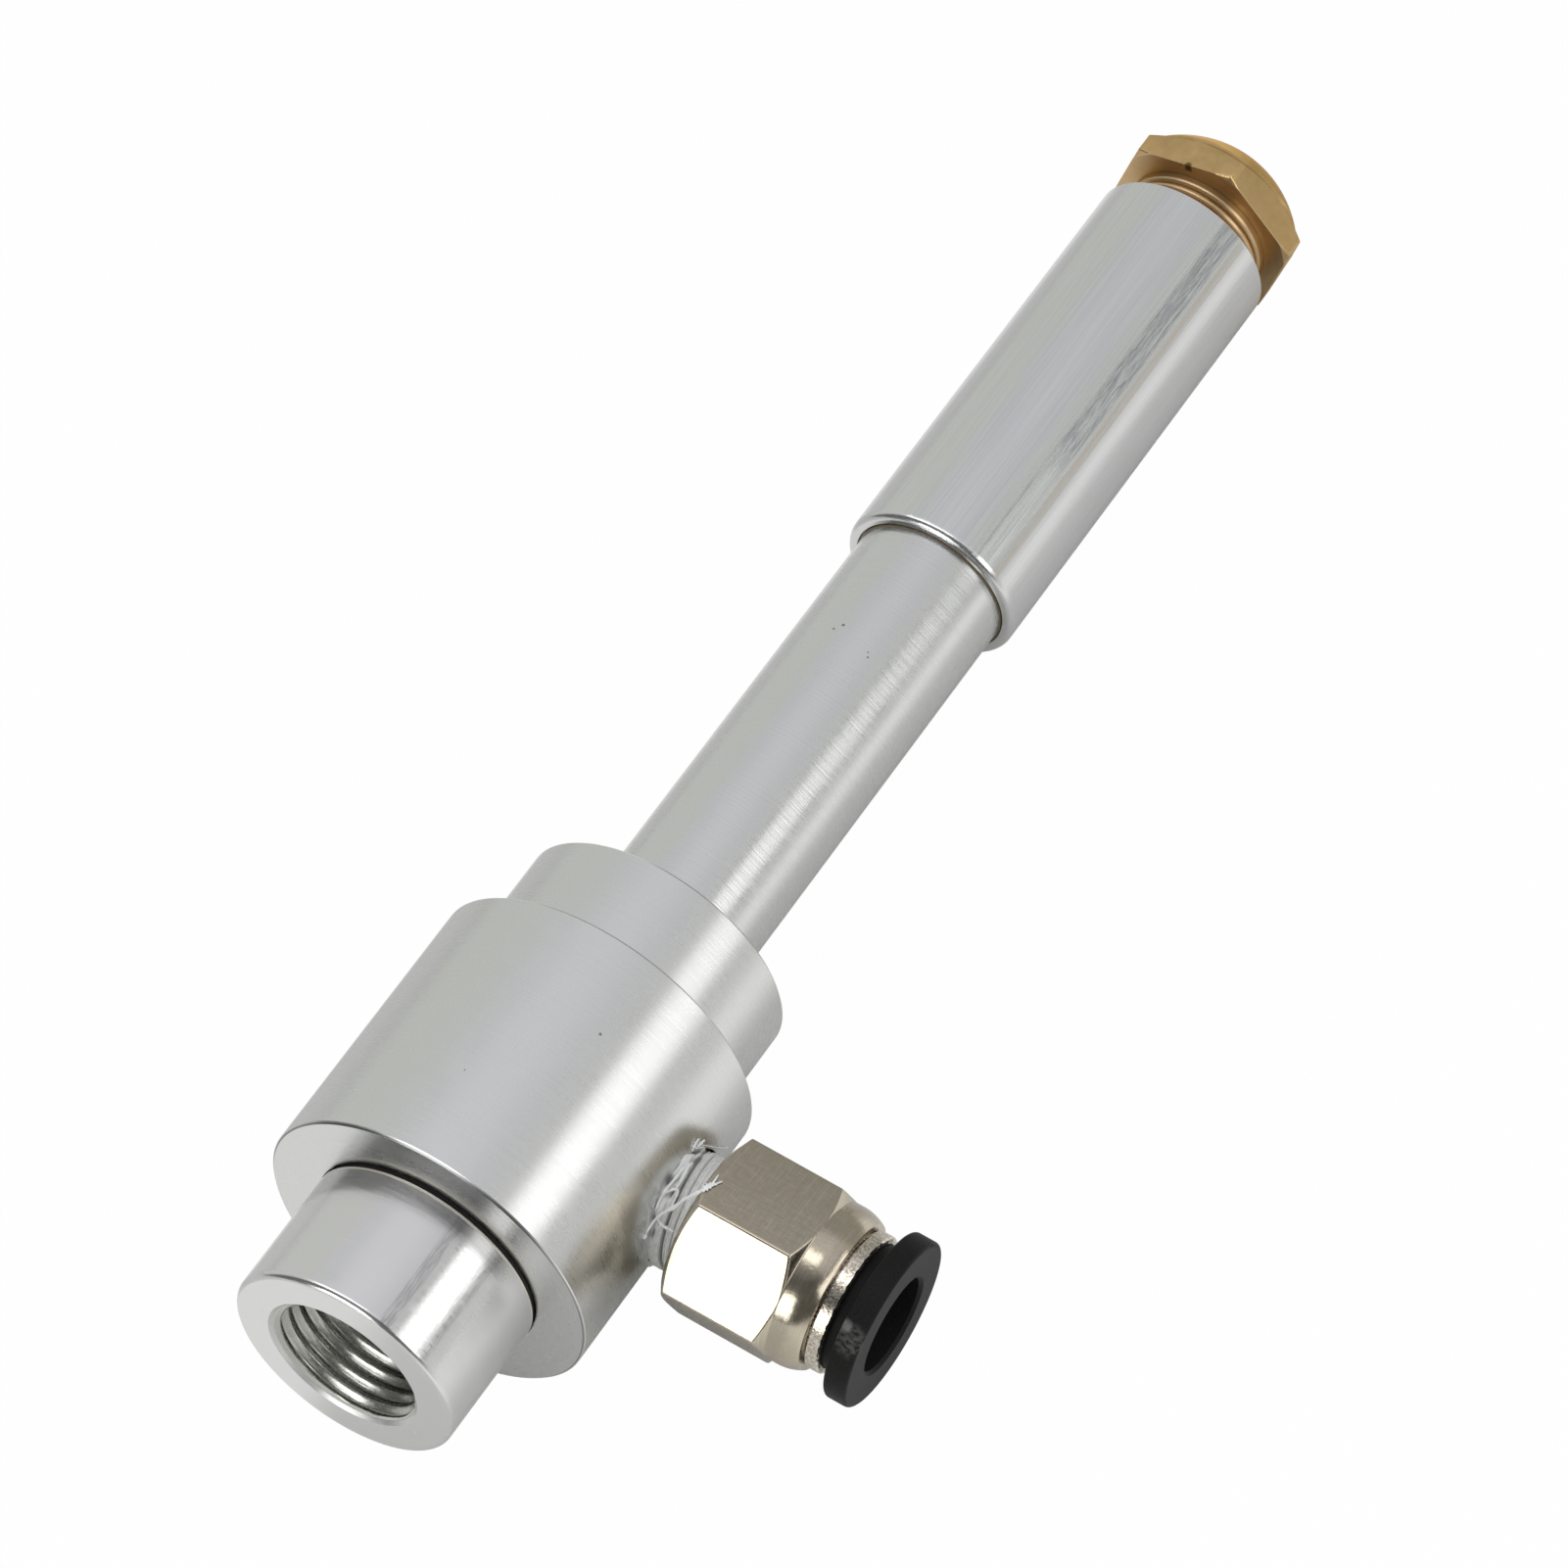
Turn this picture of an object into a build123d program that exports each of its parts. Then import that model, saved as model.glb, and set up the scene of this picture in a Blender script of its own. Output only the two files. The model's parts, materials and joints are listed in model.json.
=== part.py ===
from math import asin, atan2, cos, degrees, radians, sin, sqrt, tan
import os

from build123d import *

# A vortex tube: compressed air enters by the side fitting, spins in the
# generator, and leaves cold at the threaded nozzle and hot at the brass valve.
# Stations run along the tube from the nozzle's mouth towards the hot end.
# Reaches run along the side fitting from the tube's axis outwards.
# All sizes are millimetres.

# Cold nozzle
nozzle_diameter = 20.0
nozzle_length = 11.5
nozzle_edge = 0.55
cold_thread_diameter = 13.16
cold_thread_depth = 11.0
cold_mouth_chamfer = 0.28
cold_passage_diameter = 7.2
spigot_length = 10.5
spigot_relief_length = 1.6
spigot_relief_depth = 0.7

# Housing
housing_diameter = 29.0
housing_length = 24.7
housing_bore = 18.0
housing_edge = 0.2
seal_gap = 0.5
seal_recess_depth = 1.1
seal_recess_diameter = 20.1
plenum_diameter = 19.6
plenum_length = 5.4

# Vortex generator, its gasket and the hot side
gasket_thickness = 0.8
generator_length = 7.0
generator_disc_thickness = 1.5
generator_ring_diameter = 14.8
chamber_diameter = 9.8
cold_orifice_diameter = 4.4
jet_count = 6
jet_width = 1.2
jet_depth = 2.6
tube_flange_thickness = 1.8
cap_diameter = 23.8
cap_length = 8.8
cap_edge = 0.2
hot_tube_diameter = 13.5
bare_tube_length = 41.9
tube_overlap = 25.0
tube_mouth_chamfer = 0.7

# Exhaust sleeve and the brass control valve
sleeve_wall = 1.1
sleeve_length = 41.0
sleeve_edge = 0.55
sleeve_mouth = 0.2
small_edge = 0.12
valve_thread_diameter = 13.16
thread_pitch = 1.337
valve_open_gap = 2.85
valve_across_flats = 15.6
valve_flat_height = 2.8
head_chamfer_angle = 35.0
valve_corner_angle = 44.1
dome_radius = 9.7
dome_land = 0.35
exhaust_diameter = 6.0
exhaust_edge = 0.4
shank_length = 12.75
valve_nose_diameter = 10.8
valve_nose_length = 4.0
valve_cone_length = 6.0
valve_tip_diameter = 2.0
cross_hole_diameter = 3.0
cross_hole_count = 4
valve_seal_offset = 1.1

# Side fitting
inlet_offset = 14.3
exposed_thread = 2.1
stem_diameter = 9.5
tape_thickness = 0.35
stem_passage_diameter = 6.0
fitting_across_flats = 14.0
fitting_corner_angle = 51.6
fitting_hex_length = 9.8
hex_rear_face_diameter = 13.0
hex_chamfer_angle = 30.0
shoulder_start_diameter = 13.96
shoulder_land = 0.8
shoulder_end_diameter = 12.9
shoulder_length = 2.75
air_tube_diameter = 8.0
tube_seat_depth = 9.75
seal_step_depth = 6.75
socket_diameter = 11.7
end_ring_diameter = 12.1
end_ring_length = 1.45
end_ring_skirt = 1.05
end_ring_groove = 0.22
collar_neck_diameter = 10.84
collar_gap = 1.15
collar_diameter = 14.6
collar_thickness = 2.1
collar_edge = 0.35
collar_mouth_chamfer = 0.28
collar_lip_thickness = 0.4
collar_nose_length = 1.3
grab_ring_thickness = 0.25
grab_tooth_count = 12

# Seals and clearances
nozzle_seal_section = 1.6
hot_seal_section = 1.3
valve_seal_section = 1.2
tube_seal_section = 1.6
slip_clearance = 0.05
running_clearance = 0.04
seal_clearance = 0.03
tube_clearance = 0.1
lip_clearance = 0.1


# Stations along the tube
housing_start = nozzle_length + seal_gap
housing_end = housing_start + housing_length
spigot_end = nozzle_length + spigot_length
generator_start = spigot_end + gasket_thickness
generator_end = generator_start + generator_length
flange_end = generator_end + tube_flange_thickness
cap_end = housing_end + cap_length
sleeve_start = cap_end + bare_tube_length
sleeve_end = sleeve_start + sleeve_length
tube_end = sleeve_start + tube_overlap
head_start = sleeve_end + valve_open_gap
inlet_station = housing_start + inlet_offset

# Radii along the tube
nozzle_radius = nozzle_diameter / 2
housing_radius = housing_diameter / 2
bore_radius = housing_bore / 2
insert_radius = bore_radius - slip_clearance
tube_radius = hot_tube_diameter / 2
chamber_radius = chamber_diameter / 2
sleeve_bore_radius = tube_radius + slip_clearance
sleeve_radius = sleeve_bore_radius + sleeve_wall
valve_thread_radius = valve_thread_diameter / 2
valve_bore_radius = valve_thread_radius + running_clearance
valve_flat_radius = valve_across_flats / 2
valve_corner_radius = valve_flat_radius / cos(radians(30))
exhaust_radius = exhaust_diameter / 2

# Reaches along the side fitting
hex_start = housing_radius + exposed_thread
hex_end = hex_start + fitting_hex_length
mouth_reach = hex_end + shoulder_length
end_ring_reach = mouth_reach + end_ring_length
collar_rear = end_ring_reach + collar_gap
collar_face = collar_rear + collar_thickness
collar_radius = collar_diameter / 2

# Brass head: the chamfer ends at the flats' height, and the dome rises from a short land inside it
flat_end = head_start + valve_flat_height
corner_end = flat_end - (valve_corner_radius - valve_flat_radius) * tan(radians(head_chamfer_angle))
dome_start = flat_end + dome_land
dome_centre = dome_start - sqrt(dome_radius**2 - valve_flat_radius**2)
exhaust_rim_radius = exhaust_radius + exhaust_edge
dome_end = dome_centre + sqrt(dome_radius**2 - exhaust_rim_radius**2)


def lie_down():
    """Pitch and roll of the part as it lies, in radians.

    It rests on the housing's rear rim, a corner of the brass head and the
    rounded front rim of the release collar, all on one level.
    """
    rim_station = housing_end - housing_edge
    pitch = 0.0
    roll = 0.0
    for _ in range(60):
        corners = [radians(valve_corner_angle + 60 * k) for k in range(6)]
        head_radius = valve_corner_radius * max(sin(angle + roll) for angle in corners)
        pitch = atan2(housing_radius - head_radius, corner_end - rim_station)
        drop = asin(sin(roll) * cos(pitch))
        level = housing_radius * cos(pitch) + (rim_station - inlet_station) * sin(pitch)
        rim = (collar_radius - collar_edge) * cos(drop) + collar_edge
        roll = asin((level - rim) / ((collar_face - collar_edge) * cos(pitch)))
    return pitch, roll


# The part lies on z = 0 with the middle of its box over the origin
pitch, roll = lie_down()
tube_direction = Vector(cos(pitch), 0, -sin(pitch))
side_direction = Vector(-sin(roll) * sin(pitch), -cos(roll), -sin(roll) * cos(pitch))
nozzle_face_radius = nozzle_radius - nozzle_edge
low_x = nozzle_edge * (cos(pitch) - 1) - nozzle_face_radius * sin(pitch)
high_x = dome_end * cos(pitch) + exhaust_rim_radius * sin(pitch)
collar_rim_reach = (collar_face - collar_edge) * cos(roll)
collar_rim_spread = (collar_radius - collar_edge) * sin(roll) + collar_edge
nose_height = housing_radius * cos(pitch) + (housing_end - housing_edge) * sin(pitch)
# the fitting's axis leaves the tube's axis at its own station, level in y with the nose
nose_point = Vector(
    -(low_x + high_x) / 2,
    (collar_rim_reach + collar_rim_spread - housing_radius) / 2,
    nose_height,
)
cross_direction = tube_direction.cross(side_direction)
inlet_point = nose_point + tube_direction * inlet_station

tube_axis = Axis(nose_point, tube_direction)
tube_frame = Plane(origin=nose_point, x_dir=side_direction, z_dir=tube_direction)
tube_section = Plane(origin=nose_point, x_dir=tube_direction, z_dir=cross_direction)
inlet_axis = Axis(inlet_point, side_direction)
inlet_frame = Plane(origin=inlet_point, x_dir=tube_direction, z_dir=side_direction)
inlet_section = Plane(origin=inlet_point, x_dir=side_direction, z_dir=cross_direction * -1)


# Housing: a bored bar with a recess for the nozzle's seal, a plenum and a side port
plenum_start = inlet_station - plenum_length / 2
port_radius = stem_diameter / 2 + tape_thickness
with BuildPart() as housing:
    with BuildSketch(tube_frame.offset(housing_start)):
        Circle(housing_radius)
    extrude(amount=housing_length)
    chamfer(housing.faces().filter_by(GeomType.PLANE).edges(), length=housing_edge)
    with BuildSketch(tube_frame.offset(housing_start)):
        Circle(bore_radius)
    extrude(amount=housing_length, mode=Mode.SUBTRACT)
    with BuildSketch(tube_frame.offset(housing_start)):
        Circle(seal_recess_diameter / 2)
    extrude(amount=seal_recess_depth, mode=Mode.SUBTRACT)
    with BuildSketch(tube_frame.offset(plenum_start)):
        Circle(plenum_diameter / 2)
    extrude(amount=plenum_length, mode=Mode.SUBTRACT)
    with BuildSketch(inlet_frame):
        Circle(port_radius)
    extrude(amount=housing_radius + 1, mode=Mode.SUBTRACT)
housing.part.label = "housing"

# Cold nozzle: threaded outlet, shoulder, and a spigot that clamps the generator
cold_thread_radius = cold_thread_diameter / 2
cold_mouth_radius = cold_thread_radius + cold_mouth_chamfer
cold_passage_radius = cold_passage_diameter / 2
cone_end = cold_thread_depth + (cold_thread_radius - cold_passage_radius)
relief_end = nozzle_length + spigot_relief_length
relief_radius = insert_radius - spigot_relief_depth
with BuildPart() as cold_nozzle:
    with BuildSketch(tube_section):
        with BuildLine():
            Polyline(
                (0, cold_mouth_radius),
                (0, nozzle_radius),
                (nozzle_length - small_edge, nozzle_radius),
                (nozzle_length, nozzle_radius - small_edge),
                (nozzle_length, relief_radius),
                (relief_end, relief_radius),
                (relief_end, insert_radius),
                (spigot_end, insert_radius),
                (spigot_end, cold_passage_radius),
                (cone_end, cold_passage_radius),
                (cold_thread_depth, cold_thread_radius),
                (cold_mouth_chamfer, cold_thread_radius),
                close=True,
            )
        make_face()
    revolve(axis=tube_axis)
    front_circles = cold_nozzle.edges().filter_by(GeomType.CIRCLE).group_by(tube_axis)[0]
    fillet(front_circles.sort_by(SortBy.RADIUS)[-1], radius=nozzle_edge)
cold_nozzle.part.label = "cold_nozzle"

# Black ring that shows between the nozzle's shoulder and the housing
nozzle_seal_radius = relief_radius + seal_clearance + nozzle_seal_section / 2
with BuildPart() as cold_nozzle_seal:
    with BuildSketch(tube_section):
        with Locations((nozzle_length + nozzle_seal_section / 2, nozzle_seal_radius)):
            Circle(nozzle_seal_section / 2)
    revolve(axis=tube_axis)
cold_nozzle_seal.part.label = "cold_nozzle_seal"

# Flat gasket between the spigot and the generator
with BuildPart() as generator_gasket:
    with BuildSketch(tube_frame.offset(spigot_end)):
        Circle(insert_radius)
        Circle(cold_passage_radius, mode=Mode.SUBTRACT)
    extrude(amount=gasket_thickness)
generator_gasket.part.label = "generator_gasket"

# Vortex generator: a disc with the cold orifice, and a ring with tangential jets
disc_end = generator_start + generator_disc_thickness
cold_orifice_radius = cold_orifice_diameter / 2
with BuildPart() as vortex_generator:
    with BuildSketch(tube_section):
        with BuildLine():
            Polyline(
                (generator_start, cold_passage_radius),
                (generator_start, insert_radius),
                (disc_end, insert_radius),
                (disc_end, generator_ring_diameter / 2),
                (generator_end, generator_ring_diameter / 2),
                (generator_end, chamber_radius),
                (disc_end, chamber_radius),
                (disc_end, cold_orifice_radius),
                close=True,
            )
        make_face()
    revolve(axis=tube_axis)
    with BuildSketch(tube_frame.offset(generator_end)):
        with PolarLocations(0, jet_count):
            with Locations((generator_ring_diameter / 4, chamber_radius - jet_width / 2)):
                Rectangle(generator_ring_diameter / 2, jet_width)
    extrude(amount=-jet_depth, mode=Mode.SUBTRACT)
vortex_generator.part.label = "vortex_generator"

# Hot tube: flanged at the generator, open and chamfered at the valve
mouth_start = tube_end - tube_mouth_chamfer
with BuildPart() as hot_tube:
    with BuildSketch(tube_section):
        with BuildLine():
            Polyline(
                (generator_end, chamber_radius),
                (generator_end, insert_radius),
                (flange_end, insert_radius),
                (flange_end, tube_radius),
                (tube_end, tube_radius),
                (tube_end, chamber_radius + tube_mouth_chamfer),
                (mouth_start, chamber_radius),
                close=True,
            )
        make_face()
    revolve(axis=tube_axis)
hot_tube.part.label = "hot_tube"

# Cap that screws in behind the flange and carries the hot tube out
cap_bore_radius = tube_radius + slip_clearance
seal_groove_radius = cap_bore_radius + slip_clearance + hot_seal_section
with BuildPart() as hot_side_cap:
    with BuildSketch(tube_section):
        with BuildLine():
            Polyline(
                (flange_end, seal_groove_radius),
                (flange_end, insert_radius),
                (housing_end, insert_radius),
                (housing_end, cap_diameter / 2),
                (cap_end - cap_edge, cap_diameter / 2),
                (cap_end, cap_diameter / 2 - cap_edge),
                (cap_end, cap_bore_radius),
                (flange_end + hot_seal_section, cap_bore_radius),
                (flange_end + hot_seal_section, seal_groove_radius),
                close=True,
            )
        make_face()
    revolve(axis=tube_axis)
hot_side_cap.part.label = "hot_side_cap"

# Ring that seals the hot tube in the cap
hot_seal_radius = tube_radius + slip_clearance + hot_seal_section / 2
with BuildPart() as hot_tube_seal:
    with BuildSketch(tube_section):
        with Locations((flange_end + hot_seal_section / 2, hot_seal_radius)):
            Circle(hot_seal_section / 2)
    revolve(axis=tube_axis)
hot_tube_seal.part.label = "hot_tube_seal"

# Exhaust sleeve: slides over the hot tube and is tapped for the valve behind it
with BuildPart() as exhaust_sleeve:
    with BuildSketch(tube_section):
        with BuildLine():
            Polyline(
                (sleeve_start + sleeve_mouth, sleeve_bore_radius),
                (sleeve_start, sleeve_bore_radius + sleeve_mouth),
                (sleeve_start, sleeve_radius),
                (sleeve_end - small_edge, sleeve_radius),
                (sleeve_end, sleeve_radius - small_edge),
                (sleeve_end, valve_bore_radius),
                (tube_end, valve_bore_radius),
                (tube_end, sleeve_bore_radius),
                close=True,
            )
        make_face()
    revolve(axis=tube_axis)
    front_circles = exhaust_sleeve.edges().filter_by(GeomType.CIRCLE).group_by(tube_axis)[0]
    fillet(front_circles.sort_by(SortBy.RADIUS)[-1], radius=sleeve_wall * sleeve_edge)
exhaust_sleeve.part.label = "exhaust_sleeve"

# Control valve: domed hexagon, threaded shank, bored nose with cross holes, cone
shank_start = head_start - shank_length
nose_start = shank_start - valve_nose_length
tip_start = nose_start - valve_cone_length
seal_groove_start = shank_start + valve_seal_offset
seal_groove_end = seal_groove_start + valve_seal_section + 2 * slip_clearance
seal_groove_floor = valve_thread_radius - valve_seal_section - slip_clearance
valve_nose_radius = valve_nose_diameter / 2
with BuildPart() as control_valve:
    with BuildSketch(tube_section):
        with BuildLine():
            Polyline(
                (dome_end, 0),
                (head_start, 0),
                (head_start, valve_corner_radius + 1),
                (corner_end - tan(radians(head_chamfer_angle)), valve_corner_radius + 1),
                (flat_end, valve_flat_radius),
                (dome_start, valve_flat_radius),
            )
            RadiusArc((dome_start, valve_flat_radius), (dome_end, exhaust_rim_radius), dome_radius)
            Line((dome_end, exhaust_rim_radius), (dome_end, 0))
        make_face()
    revolve(axis=tube_axis)
    with BuildSketch(tube_frame.offset(head_start)):
        RegularPolygon(valve_flat_radius, 6, major_radius=False, rotation=valve_corner_angle)
    extrude(amount=dome_end - head_start, mode=Mode.INTERSECT)
    with BuildSketch(tube_section):
        with BuildLine():
            Polyline(
                (tip_start, 0),
                (tip_start, valve_tip_diameter / 2),
                (nose_start, valve_nose_radius),
                (shank_start, valve_nose_radius),
                (shank_start, valve_thread_radius),
                (seal_groove_start, valve_thread_radius),
                (seal_groove_start, seal_groove_floor),
                (seal_groove_end, seal_groove_floor),
                (seal_groove_end, valve_thread_radius),
                (head_start, valve_thread_radius),
                (head_start, 0),
                close=True,
            )
        make_face()
    revolve(axis=tube_axis)
    with BuildSketch(tube_frame.offset(dome_end)):
        Circle(exhaust_radius)
    extrude(amount=nose_start - dome_end, mode=Mode.SUBTRACT)
    with BuildSketch(tube_section):
        with BuildLine():
            Polyline(
                (dome_end, exhaust_radius),
                (dome_end, exhaust_rim_radius),
                (dome_end - exhaust_edge, exhaust_radius),
                close=True,
            )
        make_face()
    revolve(axis=tube_axis, mode=Mode.SUBTRACT)
    for k in range(cross_hole_count):
        across = tube_frame.offset(nose_start + valve_nose_length / 2)
        turned = across.rotated((0, 0, 360 / cross_hole_count * k))
        with BuildSketch(Plane(origin=turned.origin, x_dir=turned.z_dir, z_dir=turned.x_dir)):
            Circle(cross_hole_diameter / 2)
        extrude(amount=valve_nose_radius + 1, mode=Mode.SUBTRACT)
control_valve.part.label = "control_valve"

# Ring in the shank's groove, which travels with the valve
valve_seal_radius = seal_groove_floor + slip_clearance + valve_seal_section / 2
with BuildPart() as valve_seal:
    with BuildSketch(tube_section):
        with Locations(((seal_groove_start + seal_groove_end) / 2, valve_seal_radius)):
            Circle(valve_seal_section / 2)
    revolve(axis=tube_axis)
valve_seal.part.label = "valve_seal"

# Side fitting: taped stem, hexagon, rounded shoulder and the socket for the air tube
stem_start = plenum_diameter / 2 + tube_clearance
stem_radius = stem_diameter / 2
flat_radius = fitting_across_flats / 2
corner_radius = flat_radius / cos(radians(30))
rear_face_radius = hex_rear_face_diameter / 2
rear_chamfer = (corner_radius - rear_face_radius) * tan(radians(hex_chamfer_angle))
front_chamfer = (corner_radius - shoulder_start_diameter / 2) * tan(radians(hex_chamfer_angle))
seat_reach = mouth_reach - tube_seat_depth
step_reach = mouth_reach - seal_step_depth
seat_radius = air_tube_diameter / 2 + tube_clearance
socket_radius = socket_diameter / 2
passage_radius = stem_passage_diameter / 2
with BuildPart() as inlet_fitting:
    with BuildSketch(inlet_section):
        with BuildLine():
            Polyline(
                (mouth_reach, shoulder_end_diameter / 2),
                (mouth_reach, 0),
                (hex_start, 0),
                (hex_start, rear_face_radius),
                (hex_start + rear_chamfer, corner_radius),
                (hex_end - front_chamfer, corner_radius),
                (hex_end, shoulder_start_diameter / 2),
                (hex_end + shoulder_land, shoulder_start_diameter / 2),
            )
            TangentArc(
                (hex_end + shoulder_land, shoulder_start_diameter / 2),
                (mouth_reach, shoulder_end_diameter / 2),
                tangent=(1, 0),
            )
        make_face()
    revolve(axis=inlet_axis)
    with BuildSketch(inlet_frame.offset(hex_start)):
        RegularPolygon(flat_radius, 6, major_radius=False, rotation=fitting_corner_angle)
    extrude(amount=hex_end - hex_start + shoulder_length, mode=Mode.INTERSECT)
    with BuildSketch(inlet_frame.offset(stem_start)):
        Circle(stem_radius)
    extrude(amount=hex_start - stem_start)
    with BuildSketch(inlet_section):
        with BuildLine():
            Polyline(
                (stem_start, 0),
                (stem_start, passage_radius),
                (seat_reach, passage_radius),
                (seat_reach, seat_radius),
                (step_reach, seat_radius),
                (step_reach, socket_radius),
                (mouth_reach, socket_radius),
                (mouth_reach, 0),
                close=True,
            )
        make_face()
    revolve(axis=inlet_axis, mode=Mode.SUBTRACT)
inlet_fitting.part.label = "inlet_fitting"

# Turns of sealing tape on the stem, as one sleeve
with BuildPart() as thread_tape:
    with BuildSketch(inlet_frame.offset(stem_start)):
        Circle(stem_radius + tape_thickness)
        Circle(stem_radius, mode=Mode.SUBTRACT)
    extrude(amount=hex_start - stem_start)
thread_tape.part.label = "thread_tape"

# Ring that squeezes on the air tube at the bottom of the socket
tube_seal_radius = socket_radius - seal_clearance - tube_seal_section / 2
seal_end = step_reach + tube_seal_section + slip_clearance
with BuildPart() as tube_seal:
    with BuildSketch(inlet_section):
        with Locations((step_reach + tube_seal_section / 2, tube_seal_radius)):
            Circle(tube_seal_section / 2)
    revolve(axis=inlet_axis)
tube_seal.part.label = "tube_seal"

# Dished spacer between the seal and the grab ring
spacer_web = 0.4
spacer_rim = 0.8
spacer_end = seal_end + spacer_web + spacer_rim
spacer_hole_radius = seat_radius + tube_clearance
spacer_radius = socket_radius - slip_clearance
rim_inner_radius = spacer_radius - 0.5
with BuildPart() as seal_spacer:
    with BuildSketch(inlet_section):
        with BuildLine():
            Polyline(
                (seal_end, spacer_hole_radius),
                (seal_end, spacer_radius),
                (spacer_end, spacer_radius),
                (spacer_end, rim_inner_radius),
                (seal_end + spacer_web, rim_inner_radius),
                (seal_end + spacer_web, spacer_hole_radius),
                close=True,
            )
        make_face()
    revolve(axis=inlet_axis)
seal_spacer.part.label = "seal_spacer"

# Stainless grab ring: a flat rim with slotted teeth that lean towards the seal
tooth_reach = seal_end + spacer_web + 0.2
tooth_tip_radius = seat_radius + tube_clearance
with BuildPart() as grab_ring:
    with BuildSketch(inlet_section):
        with BuildLine():
            Polyline(
                (spacer_end, rim_inner_radius),
                (spacer_end, spacer_radius),
                (spacer_end + grab_ring_thickness, spacer_radius),
                (spacer_end + grab_ring_thickness, rim_inner_radius),
                (tooth_reach + grab_ring_thickness, tooth_tip_radius),
                (tooth_reach, tooth_tip_radius),
                close=True,
            )
        make_face()
    revolve(axis=inlet_axis)
    with BuildSketch(inlet_frame.offset(tooth_reach - 1)):
        with PolarLocations(0, grab_tooth_count):
            with Locations((rim_inner_radius / 2, 0)):
                Rectangle(rim_inner_radius, 0.5)
    extrude(amount=spacer_end - tooth_reach + 2, mode=Mode.SUBTRACT)
grab_ring.part.label = "grab_ring"

# Plated ring pressed into the socket's mouth, which holds the collar in
end_ring_bore = collar_neck_diameter / 2 + 2 * running_clearance
skirt_radius = socket_radius - slip_clearance / 2
with BuildPart() as fitting_end_ring:
    with BuildSketch(inlet_section):
        with BuildLine():
            Polyline(
                (mouth_reach - end_ring_skirt, end_ring_bore),
                (mouth_reach - end_ring_skirt, skirt_radius),
                (mouth_reach, skirt_radius),
                (mouth_reach, end_ring_diameter / 2 - end_ring_groove),
                (mouth_reach + end_ring_groove, end_ring_diameter / 2 - end_ring_groove),
                (mouth_reach + 2 * end_ring_groove, end_ring_diameter / 2),
                (end_ring_reach - 0.2, end_ring_diameter / 2),
                (end_ring_reach, end_ring_diameter / 2 - 0.2),
                (end_ring_reach, end_ring_bore),
                close=True,
            )
        make_face()
    revolve(axis=inlet_axis)
fitting_end_ring.part.label = "fitting_end_ring"

# Release collar: pushed in, its nose spreads the grab ring's teeth
lip_end = mouth_reach - end_ring_skirt - lip_clearance
lip_start = lip_end - collar_lip_thickness
nose_tip = lip_start - collar_nose_length
collar_bore = seat_radius + slip_clearance
collar_neck_radius = collar_neck_diameter / 2
with BuildPart() as release_collar:
    with BuildSketch(inlet_section):
        with BuildLine():
            Polyline(
                (nose_tip, collar_bore),
                (nose_tip, collar_bore + 0.35),
                (lip_start, socket_radius - lip_clearance),
                (lip_end, socket_radius - lip_clearance),
                (lip_end, collar_neck_radius),
                (collar_rear, collar_neck_radius),
                (collar_rear, collar_radius),
                (collar_face, collar_radius),
                (collar_face, collar_bore + collar_mouth_chamfer),
                (collar_face - collar_mouth_chamfer, collar_bore),
                close=True,
            )
        make_face()
    revolve(axis=inlet_axis)
    rims = release_collar.edges().filter_by(GeomType.CIRCLE).group_by(SortBy.RADIUS)[-1]
    fillet(rims, radius=collar_edge)
release_collar.part.label = "release_collar"


pieces = [
    housing, cold_nozzle, cold_nozzle_seal, generator_gasket, vortex_generator,
    hot_tube, hot_side_cap, hot_tube_seal, exhaust_sleeve, control_valve, valve_seal,
    inlet_fitting, thread_tape, tube_seal, seal_spacer, grab_ring, fitting_end_ring,
    release_collar,
]
os.makedirs("parts", exist_ok=True)
for piece in pieces:
    export_step(piece.part, f"parts/{piece.part.label}.step")

print(f"pitch {degrees(pitch):.2f} deg, roll {degrees(roll):.2f} deg")
print(f"nose at {tuple(nose_point)}, inlet centre at {tuple(inlet_point)}")
print(f"tube direction {tuple(tube_direction)}, side direction {tuple(side_direction)}")
print(f"length along the tube {dome_end:.2f}")
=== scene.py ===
# %% [markdown]
# # A vortex tube on a white table
# Compressed air enters this tool through a small push-in fitting, spins inside the turned housing, and leaves
# cold at the threaded nozzle and hot at the brass valve. Nearly all of it is round turned metal, so the work
# here is in three things: exact threads and hexagons, surfaces that show how each piece was machined, and soft
# light that lets bare metal look like metal.

# %% Load the CAD frame
import json

import bmesh
import bpy
import numpy as np
from mathutils import Matrix


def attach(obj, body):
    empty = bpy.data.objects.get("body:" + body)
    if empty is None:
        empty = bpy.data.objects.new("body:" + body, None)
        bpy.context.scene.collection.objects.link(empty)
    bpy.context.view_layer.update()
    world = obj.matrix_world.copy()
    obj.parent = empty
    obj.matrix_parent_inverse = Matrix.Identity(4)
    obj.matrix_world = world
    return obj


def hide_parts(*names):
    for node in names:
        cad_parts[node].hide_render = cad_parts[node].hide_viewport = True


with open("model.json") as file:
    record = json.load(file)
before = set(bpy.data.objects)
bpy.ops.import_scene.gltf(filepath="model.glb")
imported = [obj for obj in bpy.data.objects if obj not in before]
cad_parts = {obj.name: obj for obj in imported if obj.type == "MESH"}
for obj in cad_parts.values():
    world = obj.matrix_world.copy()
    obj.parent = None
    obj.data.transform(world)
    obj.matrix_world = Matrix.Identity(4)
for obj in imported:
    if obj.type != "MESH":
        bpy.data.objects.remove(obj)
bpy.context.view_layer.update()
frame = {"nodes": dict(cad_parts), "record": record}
nodes = frame["nodes"]

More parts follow.
